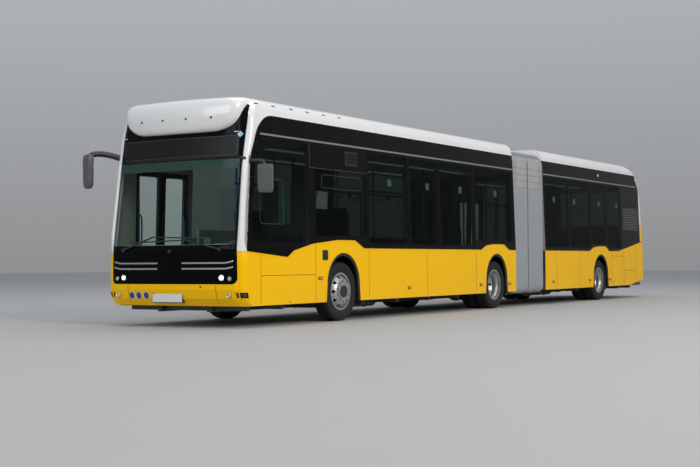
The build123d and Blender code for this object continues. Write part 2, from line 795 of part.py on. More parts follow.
def bellows(s0, s1):
    """Half of the bellows: pleated fabric walls round the passage, between two frames."""
    walls = []
    step = (s1 - s0) / (2 * PLEATS)
    wires_out, wires_in = [], []
    for k in range(2 * PLEATS + 1):
        proud = PLEAT_DEPTH if k % 2 else 0
        s = s0 + k * step
        for wires, inset in ((wires_out, 0), (wires_in, BELLOWS_SKIN)):
            half = 1192 + proud - inset
            top, low = 3245 + proud - inset, 300 - proud + inset
            corner = 240 - inset
            wires.append(
                rounded_wire(
                    [(-half, low, 120), (-half, top, corner), (half, top, corner), (half, low, 120)],
                    lambda y, z, s=s: (x_at(s), y, z),
                )
            )
    skin = Solid.make_loft(wires_out, ruled=True) - Solid.make_loft(wires_in, ruled=True)
    skin = skin - block(s0 - 10, s1 + 10, -LIP_HALF, LIP_HALF, 200, 500)
    walls += skin.solids()
    return Compound(walls)


# Wheels

def turned(points, y, flip=1):
    """A closed (y, r, radius) outline turned about the wheel's axis at Y."""
    wire = rounded_wire(points, lambda a, r: (0, y + flip * a, r))
    return revolve(Face(wire), axis=Axis((0, y, 0), (0, 1, 0)))


BEAD = 106


def tyre(y):
    h = TYRE_WIDTH / 2
    low = RIM_RADIUS
    top = TYRE_RADIUS
    return turned(
        [(-BEAD, low, 0), (-BEAD, low + 19, 0), (-h + 12, low + 44, 0), (-h, low + 98, 0),
         (-h + 10, top - 32, 0), (-h + 36, top, 0), (h - 36, top, 0), (h - 10, top - 32, 0),
         (h, low + 98, 0), (h - 12, low + 44, 0), (BEAD, low + 19, 0), (BEAD, low, 0)], y,
    )


FACE = TWIN_SPACING / 2
DISC_PLATE = 12
HAND_HOLES = 10


def rim(y, flip):
    """A steel wheel: barrel with flanges and drop centre, dished disc with hand holes and a hub bore."""
    r = RIM_RADIUS
    barrel = [
        (-118, r + 18, 0), (-106, r + 18, 0), (-106, r, 0), (106, r, 0), (106, r + 18, 0), (118, r + 18, 0),
        (118, r - 9, 0), (70, r - 12, 0), (30, r - 34, 0), (-30, r - 34, 0), (-70, r - 12, 0), (-118, r - 9, 0),
    ]
    dish = [
        (66, r - 10, 0), (FACE - 26, 232, 0), (FACE, 200, 0), (FACE, HUB_BORE, 0),
        (FACE - DISC_PLATE, HUB_BORE, 0), (FACE - DISC_PLATE, 196, 0), (FACE - 40, 224, 0), (50, r - 16, 0),
    ]
    wheel = turned(barrel, y, flip) + turned(dish, y, flip)
    for k in range(HAND_HOLES):
        a = 2 * pi * k / HAND_HOLES
        centre = (cos(a) * 236, y + flip * 60, sin(a) * 236)
        hole = Solid.make_cylinder(25, 110, Plane(origin=centre, z_dir=(0, flip, 0)))
        wheel = wheel - hole
    return wheel


HUB_RADIUS = 138
STUB_RADIUS = 70


def hub(y_face, reach, outward=1):
    """The hub that fills the wheel's bore, with a cap, and a bore for the axle's stub."""
    body = Solid.make_cylinder(HUB_BORE, 60, Plane(origin=(0, y_face - 46, 0), z_dir=(0, 1, 0)))
    nose = Solid.make_cylinder(96, reach, Plane(origin=(0, y_face + 14, 0), z_dir=(0, 1, 0)))
    back = Solid.make_cylinder(118, 70, Plane(origin=(0, y_face - 116, 0), z_dir=(0, 1, 0)))
    bore = Solid.make_cylinder(STUB_RADIUS + 0.05, 130, Plane(origin=(0, y_face - 126, 0), z_dir=(0, 1, 0)))
    return (body + nose + back) - bore


def at_axle(shape, name):
    return Pos(x_at(AXLES[name]), 0, AXLE_Z) * shape


SINGLE_Y = WHEEL_OUTER_FACE - TYRE_WIDTH / 2
FRONT_FACE_Y = SINGLE_Y + FACE
OUTER_Y = SINGLE_Y
INNER_Y = OUTER_Y - TWIN_SPACING
TWIN_FACE_Y = OUTER_Y - FACE


def single_wheel():
    return tyre(SINGLE_Y), rim(SINGLE_Y, 1) + hub(FRONT_FACE_Y, 16)


def twin_wheel():
    tyres = Compound(tyre(OUTER_Y).solids() + tyre(INNER_Y).solids())
    rims = rim(OUTER_Y, -1) + rim(INNER_Y, 1) + hub(TWIN_FACE_Y + DISC_PLATE, 60)
    return tyres, rims


# Axles

def front_axle():
    """A dropped beam below the floor that rises inside the wheel housings to an eye at each kingpin."""
    z = AXLE_Z
    parts = Pos(0, 0, 245 - z) * Box(120, 1400, 80)
    for side in (1, -1):
        riser = Pos(0, side * 665, 300 - z) * Box(120, 80, 190)
        arm = Pos(0, side * 760, 350 - z) * Box(120, 270, 90)
        eye = Solid.make_cylinder(62, 90, Plane(origin=(0, side * KINGPIN_Y, 305 - z)))
        post = Pos(0, side * 500, (FLOOR_TOP - FLOOR_THICK + 285) / 2 - z) * Box(90, 60, FLOOR_TOP - FLOOR_THICK - 285)
        parts = parts + riser + arm + eye + post
    for side in (1, -1):
        parts = parts - Solid.make_cylinder(26.05, 400, Plane(origin=(0, side * KINGPIN_Y, 200 - z)))
    return at_axle(parts, "front")


def knuckle():
    """A steering knuckle: kingpin, fork round the axle's eye, and the wheel's stub."""
    z = AXLE_Z
    pin = Solid.make_cylinder(26, 300, Plane(origin=(0, KINGPIN_Y, 250 - z)))
    top = Pos(0, KINGPIN_Y + 15, 423.65 - z) * Box(130, 150, 56.7)
    low = Pos(0, KINGPIN_Y + 15, 277.35 - z) * Box(130, 150, 54.7)
    back = Pos(0, KINGPIN_Y + 88, 365 - z) * Box(130, 44, 230)
    upright = Pos(0, KINGPIN_Y + 88, 470 - z) * Box(170, 44, 170)
    length = FRONT_FACE_Y - 14 - (KINGPIN_Y + 108)
    stub = Solid.make_cylinder(
        STUB_RADIUS, length, Plane(origin=(0, KINGPIN_Y + 108, 0), z_dir=(0, 1, 0))
    )
    arm = Pos(-130, KINGPIN_Y - 20, 272 - z) * Box(220, 60, 34)
    pin = pin & (Pos(0, KINGPIN_Y, 350 - z) * Box(100, 100, 200))
    return at_axle(fuse([top, low, back, upright, stub, arm, pin]), "front")


def drive_axle(name):
    """A low portal beam that passes under the floor into the inner wheels, with posts up to the stubs."""
    z = AXLE_Z
    parts = Pos(0, 0, 268 - z) * Box(150, 1480, 64)
    for side in (1, -1):
        post = Pos(0, side * 700, 400 - z) * Box(160, 80, 320)
        motor = Solid.make_cylinder(165, 60, Plane(origin=(0, side * 665, 0), z_dir=(0, side, 0)))
        stub = Solid.make_cylinder(
            STUB_RADIUS, TWIN_FACE_Y - 14 - 700, Plane(origin=(0, side * 700, 0), z_dir=(0, side, 0))
        )
        link = Pos(0, side * 470, 305 - z) * Box(120, 80, 10)
        parts = parts + post + motor + stub + link
    return at_axle(parts, name)


# Doors

def door_leaf(name, which):
    """One leaf of an inward swinging door, with its window cut and its turning post."""
    s0, s1 = DOORS[name]
    middle = (s0 + s1) / 2
    if which == "front":
        a, b = s0 + LEAF_GAP, middle - LEAF_MEET / 2
        axis_s = a + LEAF_AXIS_IN
    else:
        a, b = middle + LEAF_MEET / 2, s1 - LEAF_GAP
        axis_s = b - LEAF_AXIS_IN
    z0, z1 = DOOR_SILL + 8, DOOR_HEAD - LEAF_GAP
    leaf = wall_slab(LEAF_INSET, LEAF_THICK, a, b, z0, z1)
    pane = side_prism(
        with_radius(
            [(a + LEAF_BORDER, z0 + 130), (a + LEAF_BORDER, z1 - LEAF_BORDER),
             (b - LEAF_BORDER, z1 - LEAF_BORDER), (b - LEAF_BORDER, z0 + 130)], 45,
        ), -1400, -1000,
    )
    leaf = leaf - pane
    post = rod((axis_s, -LEAF_AXIS_Y, FLOOR_TOP + PLATE_GAP), (axis_s, -LEAF_AXIS_Y, DOOR_HEAD - PLATE_GAP), 20)
    straps = [
        block(axis_s - 14, axis_s + 14, -HALF_WIDTH + LEAF_INSET + 30, -LEAF_AXIS_Y, z, z + 60)
        for z in (z0 + 60, (z0 + z1) / 2, z1 - 120)
    ]
    straps = [strap & wall_slab(LEAF_INSET + 5, 130, a, b, z0, z1) for strap in straps]
    return fuse([leaf, post] + straps)


# Cab and cabin

def dashboard():
    """The driver's dashboard, the steering wheel on its column, and the cab's side wall and door."""
    desk = cross_prism(
        [(170, 960, 0), (1180, 960, 0), (1180, 1080, 40), (980, 1150, 60), (400, 1150, 60), (170, 1080, 30)], 420, 800
    )
    ledge = block(200, 420, -1050, 1100, 1130, 1190)
    column = rod((720, 640, 898), (900, 640, 1138), 35)
    wheel = Solid.make_torus(225, 18, Plane(origin=(x_at(900), 640, 1138), z_dir=(-0.6, 0, 0.8)))
    spoke = rod((720, 640, 1273), (1080, 640, 1003), 14)
    bar = rod((900, 425, 1138), (900, 855, 1138), 14)
    post = block(440, 760, 300, 1100, FLOOR_TOP + 0, 960)
    wall = block(450, 2160, 130, 170, FLOOR_TOP, 1450)
    back = block(2120, 2160, 170, 1150, FLOOR_TOP, 2200)
    return fuse([desk, ledge, column, wheel, bar, post, wall, back])


# Seat pairs: car, side (1 left, -1 right), s of the back, height of the step under them, facing
SEATS = [
    ("front", 1, 1750, FLOOR_TOP, 1, 460),
    ("front", 1, 3150, HOUSING_TOP, -1, 800),
    ("front", 1, 4050, FLOOR_TOP, 1, 800),
    ("front", 1, 4850, FLOOR_TOP, 1, 800),
    ("front", 1, 5650, FLOOR_TOP, 1, 800),
    ("front", 1, 6450, FLOOR_TOP, 1, 800),
    ("front", 1, 7250, FLOOR_TOP, 1, 800),
    ("front", -1, 3150, HOUSING_TOP, -1, 800),
    ("front", -1, 7600, FLOOR_TOP, 1, 800),
    ("rear", 1, 12300, FLOOR_TOP, 1, 800),
    ("rear", 1, 13100, FLOOR_TOP, 1, 800),
    ("rear", 1, 13850, FLOOR_TOP, 1, 800),
    ("rear", 1, 16100, FLOOR_TOP, 1, 800),
    ("rear", -1, 16100, FLOOR_TOP, 1, 800),
]
SEAT_HEIGHT = 440
SEAT_BACK = 1000


def seats(car):
    """Bench pairs: a shell of seat and back on a pedestal, standing on the floor or a housing."""
    made = []
    for place, side, s, base, facing, width in SEATS:
        if place != car:
            continue
        low = base + (SEAT_HEIGHT if base == FLOOR_TOP else 150)
        top = low + SEAT_BACK - SEAT_HEIGHT
        f = -facing
        shell = [
            (s, low - 20, 0), (s + f * 460, low + 10, 30), (s + f * 460, low + 60, 20), (s + f * 110, low + 60, 60),
            (s + f * 10, top, 20), (s - f * 45, top, 20), (s - f * 10, low + 40, 0),
        ]
        y0 = (1130 - width) * side
        y1 = 1130 * side
        bench = side_prism(shell, *sorted((y0, y1)))
        leg = block(s + f * 120, s + f * 320, *sorted((y0 + side * width * 0.35, y0 + side * width * 0.65)), base, low)
        made += (bench + leg).solids()
    return Compound(made)


# Stanchions: car, s, side
POLES = [
    ("front", 2250, 1), ("front", 4200, 1), ("front", 5000, 1), ("front", 6600, 1), ("front", 7400, 1),
    ("front", 2050, -1), ("front", 3700, -1), ("front", 5000, -1), ("front", 6500, -1), ("front", 9200, -1),
    ("front", 9200, 1), ("rear", 11600, 1), ("rear", 13250, 1), ("rear", 15300, 1),
    ("rear", 11600, -1), ("rear", 13400, -1), ("rear", 15300, -1),
]
POLE_RADIUS = 17
POLE_Y = 305
RAIL_HEIGHT = 2250


def handrails(car):
    """Upright poles from the floor to the ceiling, joined by a rail along each side."""
    rails = []
    ends = (2200, 9300) if car == "front" else (11500, 15400)
    for side in (1, -1):
        y = side * POLE_Y
        rail = rod((ends[0], y, RAIL_HEIGHT), (ends[1], y, RAIL_HEIGHT), POLE_RADIUS)
        if side < 0 and car == "front":
            rail = rod((2000, y, RAIL_HEIGHT), (ends[1], y, RAIL_HEIGHT), POLE_RADIUS)
        for place, s, pole_side in POLES:
            if place == car and pole_side == side:
                rail = rail + rod((s, y, FLOOR_TOP), (s, y, CEILING), POLE_RADIUS)
        rails += rail.solids()
    return Compound(rails)


# Mirrors and wipers

def mirror_head(s, y, z, size, turn, radius):
    head = fillet(Box(*size).edges(), radius)
    return Pos(x_at(s), y, z) * Rot(0, 0, turn) * head


def mirrors():
    """The right mirror on its long arm ahead of the corner, and the left one on a short arm."""
    right_arm = [(330, -1205, 2590), (90, -1370, 2640), (-185, -1440, 2660), (-190, -1460, 2560)]
    left_arm = [(290, 1205, 2440), (350, 1400, 2430), (372, 1450, 2330)]
    pieces = []
    for points, radius, head in (
        (right_arm, 34, mirror_head(-190, -1465, 2375, (120, 270, 550), -12, 45)),
        (left_arm, 26, mirror_head(375, 1455, 2175, (105, 242, 430), 38, 40)),
    ):
        piece = head
        for a, b in zip(points, points[1:]):
            piece = piece + rod(a, b, radius)
            piece = piece + Pos(x_at(b[0]), b[1], b[2]) * Sphere(radius)
        pieces.append(piece)
    body = car_form(0, True)
    return Compound([solid for piece in pieces for solid in (piece - body).solids()])


def screen_s(z):
    """How far back the windscreen's centre is at a height."""
    return NOSE_FACE + 5 + (175 - 5) * (z - 1150) / (SCREEN_TOP - 1150)


def wipers():
    """Two wipers parked along the bottom of the windscreen, each an arm with its blade."""
    body = car_form(0, True)
    solids = []
    for side, lift in ((1, 0), (-1, 50)):
        out = NOSE_FACE + 12 - lift * 0.3
        pivot = (out + 5, side * 905, 1150)
        knee = (out - 4, side * 310, 1290 + lift)
        tip = (out + 20, -side * 760, 1262 + lift)
        boss = rod((out + 110, side * 905, 1150), pivot, 28)
        ball = Pos(x_at(knee[0]), knee[1], knee[2]) * Sphere(13)
        piece = fuse([boss, rod(pivot, knee, 12), ball, rod(knee, tip, 10)])
        solids += (piece - body).solids()
    return Compound(solids)


def build():
    nodes = {}
    front_outer, front_inner = car_shell(True)
    rear_outer, rear_inner = car_shell(False)
    nodes["front_underframe"] = underframe(True, front_inner)
    nodes["front_lower_walls"] = lower_walls(True, front_outer, front_inner)
    nodes["front_window_walls"] = window_walls(True, front_outer, front_inner)
    nodes["front_roof"] = roof(True, front_outer)
    nodes["front_roof_packs"] = roof_packs("front")
    nodes["front_glass"] = front_glass(front_outer)
    nodes["windscreen"] = windscreen(front_outer)
    nodes["nose_hoop"] = nose_hoop(front_outer, front_inner)
    nodes["roof_dome"] = roof_dome(front_outer)
    nodes["nose_panel"] = nose_panel(front_outer, front_inner)
    nodes["bumper"] = bumper(front_outer, front_inner)
    nodes["head_lamps"] = head_lamps(front_outer)
    nodes["mirrors"] = mirrors()
    nodes["wipers"] = wipers()
    nodes["dashboard"] = dashboard()
    nodes["front_seats"] = seats("front")
    nodes["front_handrails"] = handrails("front")
    nodes["front_axle"] = front_axle()
    nodes["middle_axle"] = drive_axle("middle")
    nodes["turntable_base"] = turntable_base()

    nodes["joint_frame"] = joint_frame()
    nodes["front_bellows"] = bellows(FRONT_CAR_END, PIVOT - HOOP_TUBE / 2)
    nodes["rear_bellows"] = bellows(PIVOT + HOOP_TUBE / 2, REAR_CAR_START)

    nodes["rear_underframe"] = underframe(False, rear_inner)
    nodes["rear_lower_walls"] = lower_walls(False, rear_outer, rear_inner)
    nodes["rear_window_walls"] = window_walls(False, rear_outer, rear_inner)
    nodes["rear_roof"] = roof(False, rear_outer)
    nodes["rear_roof_packs"] = roof_packs("rear")
    nodes["rear_glass"] = rear_glass(rear_outer)
    nodes["tail_hoop"] = tail_hoop(rear_outer, rear_inner)
    nodes["tail_door"] = tail_door(rear_outer, rear_inner)
    nodes["tail_lamps"] = tail_lamps(rear_outer)
    nodes["rear_seats"] = seats("rear")
    nodes["rear_handrails"] = handrails("rear")
    nodes["rear_axle"] = drive_axle("rear")
    nodes["turntable_ring"] = turntable_ring()

    knuckle_left = knuckle()
    nodes["knuckle_left"] = knuckle_left
    nodes["knuckle_right"] = mirrored(knuckle_left)
    for name in AXLES:
        tyres, rims = single_wheel() if name == "front" else twin_wheel()
        tyres, rims = at_axle(tyres, name), at_axle(rims, name)
        nodes[f"{name}_tyre_left"] = tyres
        nodes[f"{name}_wheel_left"] = rims
        nodes[f"{name}_tyre_right"] = mirrored(tyres)
        nodes[f"{name}_wheel_right"] = mirrored(rims)
    for door in DOORS:
        for which in ("front", "rear"):
            nodes[f"{door}_{which}_leaf"] = door_leaf(door, which)
    return nodes


for node, shape in build().items():
    export_step(Compound(shape.solids()), f"parts/{node}.step")
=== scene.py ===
import json
from math import atan2, cos, pi, radians, sin, sqrt

import bmesh
import bpy
from bpy.props import FloatProperty, FloatVectorProperty, IntProperty, PointerProperty
from mathutils import Matrix, Vector


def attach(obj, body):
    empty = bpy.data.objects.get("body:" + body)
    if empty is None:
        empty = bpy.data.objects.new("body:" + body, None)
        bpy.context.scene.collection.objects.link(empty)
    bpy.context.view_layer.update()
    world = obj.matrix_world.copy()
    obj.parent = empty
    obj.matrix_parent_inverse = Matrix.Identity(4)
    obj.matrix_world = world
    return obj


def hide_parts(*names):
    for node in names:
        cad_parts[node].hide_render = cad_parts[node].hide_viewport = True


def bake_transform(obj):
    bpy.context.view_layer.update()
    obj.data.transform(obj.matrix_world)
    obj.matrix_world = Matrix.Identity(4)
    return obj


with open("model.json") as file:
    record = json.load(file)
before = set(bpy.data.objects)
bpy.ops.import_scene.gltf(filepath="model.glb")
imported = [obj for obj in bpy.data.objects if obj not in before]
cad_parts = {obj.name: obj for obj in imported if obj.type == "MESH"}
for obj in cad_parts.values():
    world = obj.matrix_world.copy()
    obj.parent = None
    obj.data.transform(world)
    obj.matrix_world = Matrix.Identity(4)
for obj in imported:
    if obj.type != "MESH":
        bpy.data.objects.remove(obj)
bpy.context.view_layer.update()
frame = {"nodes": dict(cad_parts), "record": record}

bl_info = {
    "name": "Articulated bus looks",
    "version": (1, 0, 0),
    "blender": (4, 5, 0),
    "location": "3D View > Sidebar > Bus",
    "description": "Dresses the packed CAD frame of an articulated city bus",
    "category": "Object",
}

# Places along the bus are given as s, the distance back from the plane that the part's source uses
X_ZERO = 8.9175
AXLES = {"front": 2.805, "middle": 8.705, "rear": 14.695}
NOSE_FACE = -0.045
TAIL_FACE = 18.08
NOSE_BOW = 0.060
TAIL_BOW = 0.035
PIVOT_S = 10.46
FRONT_CAR_END = 9.67
REAR_CAR_START = 11.25
AXLE_Z = 0.478
TYRE_WIDTH = 0.275
TWIN_SPACING = 0.316
OUTER_TYRE_Y = 1.24 - TYRE_WIDTH / 2
SIDES = (("left", 1), ("right", -1))

# Sections: height, nose set back, tail set forward, half width, corner radius
SECTIONS = [
    (0.32, 0.110, 0.060, 1.275, 0.19),
    (0.43, 0.030, 0.040, 1.275, 0.20),
    (0.56, 0.000, 0.000, 1.275, 0.20),
    (1.15, 0.005, 0.020, 1.275, 0.20),
    (2.50, 0.175, 0.130, 1.231, 0.19),
    (2.85, 0.222, 0.220, 1.219, 0.19),
    (3.15, 0.270, 0.400, 1.196, 0.200),
    (3.23, 0.305, 0.520, 1.184, 0.215),
    (3.30, 0.355, 0.690, 1.156, 0.230),
    (3.35, 0.415, 0.880, 1.114, 0.240),
    (3.382, 0.490, 1.100, 1.060, 0.240),
    (3.40, 0.620, 1.330, 0.980, 0.240),
]
# Heights at which a plate on a wall or an end face bends with the body
WALL_CUTS = [row[0] for row in SECTIONS if row[0] < 3.2]

# Roof equipment of each car: start, end, half width, height of the top, which is higher where fans are
FAN_TOP = 3.392
PACKS = {
    "front": [(1.15, 2.65, 0.90, 3.370), (2.75, 4.35, 0.90, 3.376), (4.45, 6.05, 0.90, 3.376),
              (6.25, 7.95, 0.86, FAN_TOP), (8.15, 9.50, 0.90, 3.376)],
    "rear": [(11.40, 12.00, 0.86, FAN_TOP), (12.15, 13.75, 0.90, 3.376), (13.85, 15.45, 0.90, 3.376)],
}

# The dome over the display: height, set back at the centre, half width, corner radius
DOME_SECTIONS = [
    (2.882, 0.200, 0.680, 0.120), (2.892, 0.170, 0.780, 0.140), (2.920, 0.146, 0.875, 0.160),
    (2.960, 0.134, 0.955, 0.170), (3.010, 0.127, 1.015, 0.180), (3.070, 0.123, 1.055, 0.180),
    (3.130, 0.121, 1.075, 0.180), (3.190, 0.124, 1.086, 0.180), (3.250, 0.134, 1.092, 0.180),
    (3.300, 0.150, 1.092, 0.180), (3.340, 0.174, 1.084, 0.190), (3.370, 0.208, 1.064, 0.200),
    (3.390, 0.260, 1.030, 0.220), (3.3992, 0.340, 0.985, 0.240),
]
DOME_BOW = 0.075
DOME_END = 0.946

# Windows of each car: s from, s to, sill, sides (1 is left, -1 is right), how far the front edge leans back
WINDOWS = {
    "front_car": [
        (0.230, 1.830, 1.250, (1,), 0.250), (2.010, 3.600, 1.370, (1, -1), 0.0),
        (3.670, 5.050, 1.260, (1, -1), 0.0), (5.130, 6.220, 1.260, (1,), 0.0),
        (6.290, 7.720, 1.260, (1,), 0.0), (6.470, 7.720, 1.260, (-1,), 0.0),
        (7.790, 9.600, 1.350, (1, -1), 0.0),
    ],
    "rear_car": [
        (11.330, 12.720, 1.260, (1,), 0.0), (12.800, 14.100, 1.260, (1,), 0.0),
        (13.330, 14.100, 1.260, (-1,), 0.0), (14.180, 15.180, 1.350, (1, -1), 0.0),
        (15.260, 16.240, 1.260, (1, -1), 0.0),
    ],
}
WINDOW_TOP = 2.790
DOORS = {"door_1": (0.600, 1.900), "door_2": (5.100, 6.400), "door_3": (11.950, 13.250)}

# The yellow wall's top edge: s, height, corner radius
FRONT_BELT = [
    (0.130, 1.118, 0), (1.195, 1.032, 0.11), (1.370, 1.130, 0.12), (1.900, 1.240, 0.9),
    (2.640, 1.306, 0.9), (3.180, 1.306, 0.17), (3.470, 1.176, 0.17), (7.990, 1.176, 0.2),
    (8.230, 1.262, 0.13), (8.560, 1.291, 0.4), (9.080, 1.291, 0.13), (9.330, 1.176, 0.13),
    (9.660, 1.176, 0),
]
REAR_BELT = [
    (11.255, 1.176, 0), (13.960, 1.176, 0.2), (14.220, 1.262, 0.13), (14.560, 1.291, 0.4),
    (15.060, 1.291, 0.13), (15.310, 1.176, 0.15), (16.000, 1.184, 1.2), (17.713, 1.420, 0),
]

# The white hoop's edge beside the glass (height, half width) and its rear edge (height, s)
HOOP_INNER = [
    (1.10, 1.182), (1.48, 1.172), (1.87, 1.159), (2.35, 1.150), (2.90, 1.163), (3.15, 1.161), (3.21, 1.153),
    (3.28, 1.132), (3.33, 1.113),
]
HOOP_REAR = [
    (1.118, 0.160), (1.24, 0.132), (1.48, 0.152), (1.76, 0.190), (2.12, 0.240), (2.48, 0.300), (2.73, 0.392),
    (2.91, 0.480), (3.15, 0.700), (3.40, 0.900),
]


def section_at(z):
    """The body's section at a height: nose set back, tail set forward, half width, corner radius."""
    if z <= SECTIONS[0][0]:
        return SECTIONS[0][1:]
    for low, high in zip(SECTIONS, SECTIONS[1:]):
        if z <= high[0]:
            t = (z - low[0]) / (high[0] - low[0])
            return tuple(a + (b - a) * t for a, b in zip(low[1:], high[1:]))
    return SECTIONS[-1][1:]


def on_side(s, z, side=1, proud=0.0):
    """A point on the side wall, side being 1 on the left and -1 on the right."""
    return Vector((X_ZERO - s, side * (section_at(z)[2] + proud), z))


def end_depth(y, half, radius, bow):
    """How far a bowed end face with round corners lies behind its middle, at a distance y from it."""
    flat = half - radius
    arc = (flat * flat + bow * bow) / (2 * bow)
    y = abs(y)
    if y <= flat:
        return arc - sqrt(arc * arc - y * y)
    off = min(y - flat, radius * 0.9999)
    return bow + radius - sqrt(radius * radius - off * off)


def on_nose(y, z, proud=0.0):
    """A point on the front's face."""
    back, _, half, radius = section_at(z)
    s = NOSE_FACE + back + end_depth(y, half, radius, NOSE_BOW)
    return Vector((X_ZERO - s + proud, y, z))


def between(table, z):
    """A value from a table of (height, value), between its rows."""
    if z <= table[0][0]:
        return table[0][1]
    for low, high in zip(table, table[1:]):
        if z <= high[0]:
            return low[1] + (high[1] - low[1]) * (z - low[0]) / (high[0] - low[0])
    return table[-1][1]


def on_corner(z, turn, side, proud=0.0):
    """A point on the nose's round corner: turn is 0 where it meets the front and 90 degrees at the side."""
    back, _, half, radius = section_at(z)
    x = X_ZERO - (NOSE_FACE + back + NOSE_BOW) - radius + (radius + proud) * cos(turn)
    return Vector((x, side * (half - radius + (radius + proud) * sin(turn)), z))


def on_dome(y, z, proud=0.0):
    """A point on the front of the dome over the display."""
    back, half, radius = (between([(row[0], row[k]) for row in DOME_SECTIONS], z) for k in (1, 2, 3))
    return Vector((X_ZERO - (NOSE_FACE + back + end_depth(y, half, radius, DOME_BOW)) + proud, y, z))


def on_tail(y, z, proud=0.0):
    """A point on the rear face."""
    _, back, half, radius = section_at(z)
    s = TAIL_FACE - back - end_depth(y, half, radius, TAIL_BOW)
    return Vector((X_ZERO - s - proud, y, z))


# Mesh helpers

def finish(name, mesh, material, body="front_car", smooth=True, bevel=0.0, slot=None, angle=40):
    """Turns a mesh into a named piece with its material, riding on a CAD body."""
    piece = bpy.data.objects.new(name, mesh)
    bpy.context.scene.collection.objects.link(piece)
    mesh.materials.append(MATERIALS[material])
    if bevel:
        edge = piece.modifiers.new("edge", "BEVEL")
        edge.width = bevel
        edge.segments = 2
        edge.limit_method = "ANGLE"
        edge.angle_limit = radians(35)
    if smooth:
        for polygon in mesh.polygons:
            polygon.use_smooth = True
        if bevel:
            shading = piece.modifiers.new("shading", "WEIGHTED_NORMAL")
            shading.keep_sharp = True
            angle = 60
        mesh.set_sharp_from_angle(angle=radians(angle))
    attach(piece, body)
    return piece


def mesh_from(bm):
    """A mesh with its faces turned outward, from an edit mesh that is used up."""
    bmesh.ops.recalc_face_normals(bm, faces=bm.faces)
    mesh = bpy.data.meshes.new("mesh")
    bm.to_mesh(mesh)
    bm.free()
    return mesh


def bridge(bm, ring, following):
    """Quads between two closed rings of vertices."""
    for k in range(len(ring)):
        m = (k + 1) % len(ring)
        bm.faces.new((ring[k], ring[m], following[m], following[k]))


def rounded_outline(points, count=5):
    """A flat outline through (u, v, radius) corners, each arc in count steps."""
    outline = []
    n = len(points)
    for i, (u, v, r) in enumerate(points):
        here = Vector((u, v))
        if not r:
            outline.append(here)
            continue
        before = (Vector(points[i - 1][:2]) - here).normalized()
        after = (Vector(points[(i + 1) % n][:2]) - here).normalized()
        half = before.angle(after) / 2
        back = r * cos(half) / sin(half)
        middle = here + (before + after).normalized() * (r / sin(half))
        a = here + before * back - middle
        b = here + after * back - middle
        turn = a.angle_signed(b)
        for k in range(count + 1):
            outline.append(middle + Matrix.Rotation(-turn * k / count, 2) @ a)
    return outline


def relief(shapes, place, low, high, cuts_u=(), cuts_v=()):
    """Raised plates and rings on a surface. Each shape is an outline or an (outer, inner) pair in (u, v)."""
    flat = bmesh.new()
    for shape in shapes:
        if len(shape) == 2 and len(shape[0]) > 3:
            outer, inner = ([flat.verts.new((p[0], p[1], 0)) for p in outline] for outline in shape)
            for k in range(len(outer)):
                m = (k + 1) % len(outer)
                flat.faces.new((outer[k], outer[m], inner[m], inner[k]))
        else:
            flat.faces.new([flat.verts.new((p[0], p[1], 0)) for p in shape])
    bmesh.ops.remove_doubles(flat, verts=flat.verts, dist=1e-5)
    for axis, cuts in ((0, cuts_u), (1, cuts_v)):
        for value in cuts:
            normal = (1, 0, 0) if axis == 0 else (0, 1, 0)
            point = (value, 0, 0) if axis == 0 else (0, value, 0)
            geom = flat.verts[:] + flat.edges[:] + flat.faces[:]
            bmesh.ops.bisect_plane(flat, geom=geom, plane_co=point, plane_no=normal)
    bm = bmesh.new()
    top = {vert: bm.verts.new(place(vert.co.x, vert.co.y, high)) for vert in flat.verts}
    base = {vert: bm.verts.new(place(vert.co.x, vert.co.y, low)) for vert in flat.verts}
    for face in flat.faces:
        bm.faces.new([top[vert] for vert in face.verts])
        bm.faces.new([base[vert] for vert in reversed(face.verts)])
    for edge in flat.edges:
        if edge.is_boundary:
            one, other = edge.verts
            bm.faces.new((top[one], base[one], base[other], top[other]))
    flat.free()
    return mesh_from(bm)


def steps(a, b, count):
    """Values from a to b in equal steps."""
    return [a + (b - a) * k / count for k in range(count + 1)]


def side_relief(shapes, side, low=-0.002, high=0.002):
    """Plates and rings on the side wall from shapes in (s, z)."""
    return relief(shapes, lambda s, z, h: on_side(s, z, side, h), low, high, cuts_v=WALL_CUTS)


def end_relief(shapes, low=-0.002, high=0.002, place=on_nose):
    """Plates and rings on the nose or the tail from shapes in (y, z)."""
    return relief(shapes, place, low, high, steps(-1.2, 1.2, 24), WALL_CUTS)


def joined(meshes):
    """One mesh from several, which are used up."""
    bm = bmesh.new()
    for mesh in meshes:
        bm.from_mesh(mesh)
        bpy.data.meshes.remove(mesh)
    mesh = bpy.data.meshes.new("joined")
    bm.to_mesh(mesh)
    bm.free()
    return mesh


def band(path, under, over):
    """Quads along an open path, from a distance under it to one over it."""
    rows = []
    for k, point in enumerate(path):
        ahead = (path[min(k + 1, len(path) - 1)] - path[max(k - 1, 0)]).normalized()
        across = Vector((-ahead.y, ahead.x))
        rows.append((point - across * under, point + across * over))
    return [(a[0], b[0], b[1], a[1]) for a, b in zip(rows, rows[1:])]


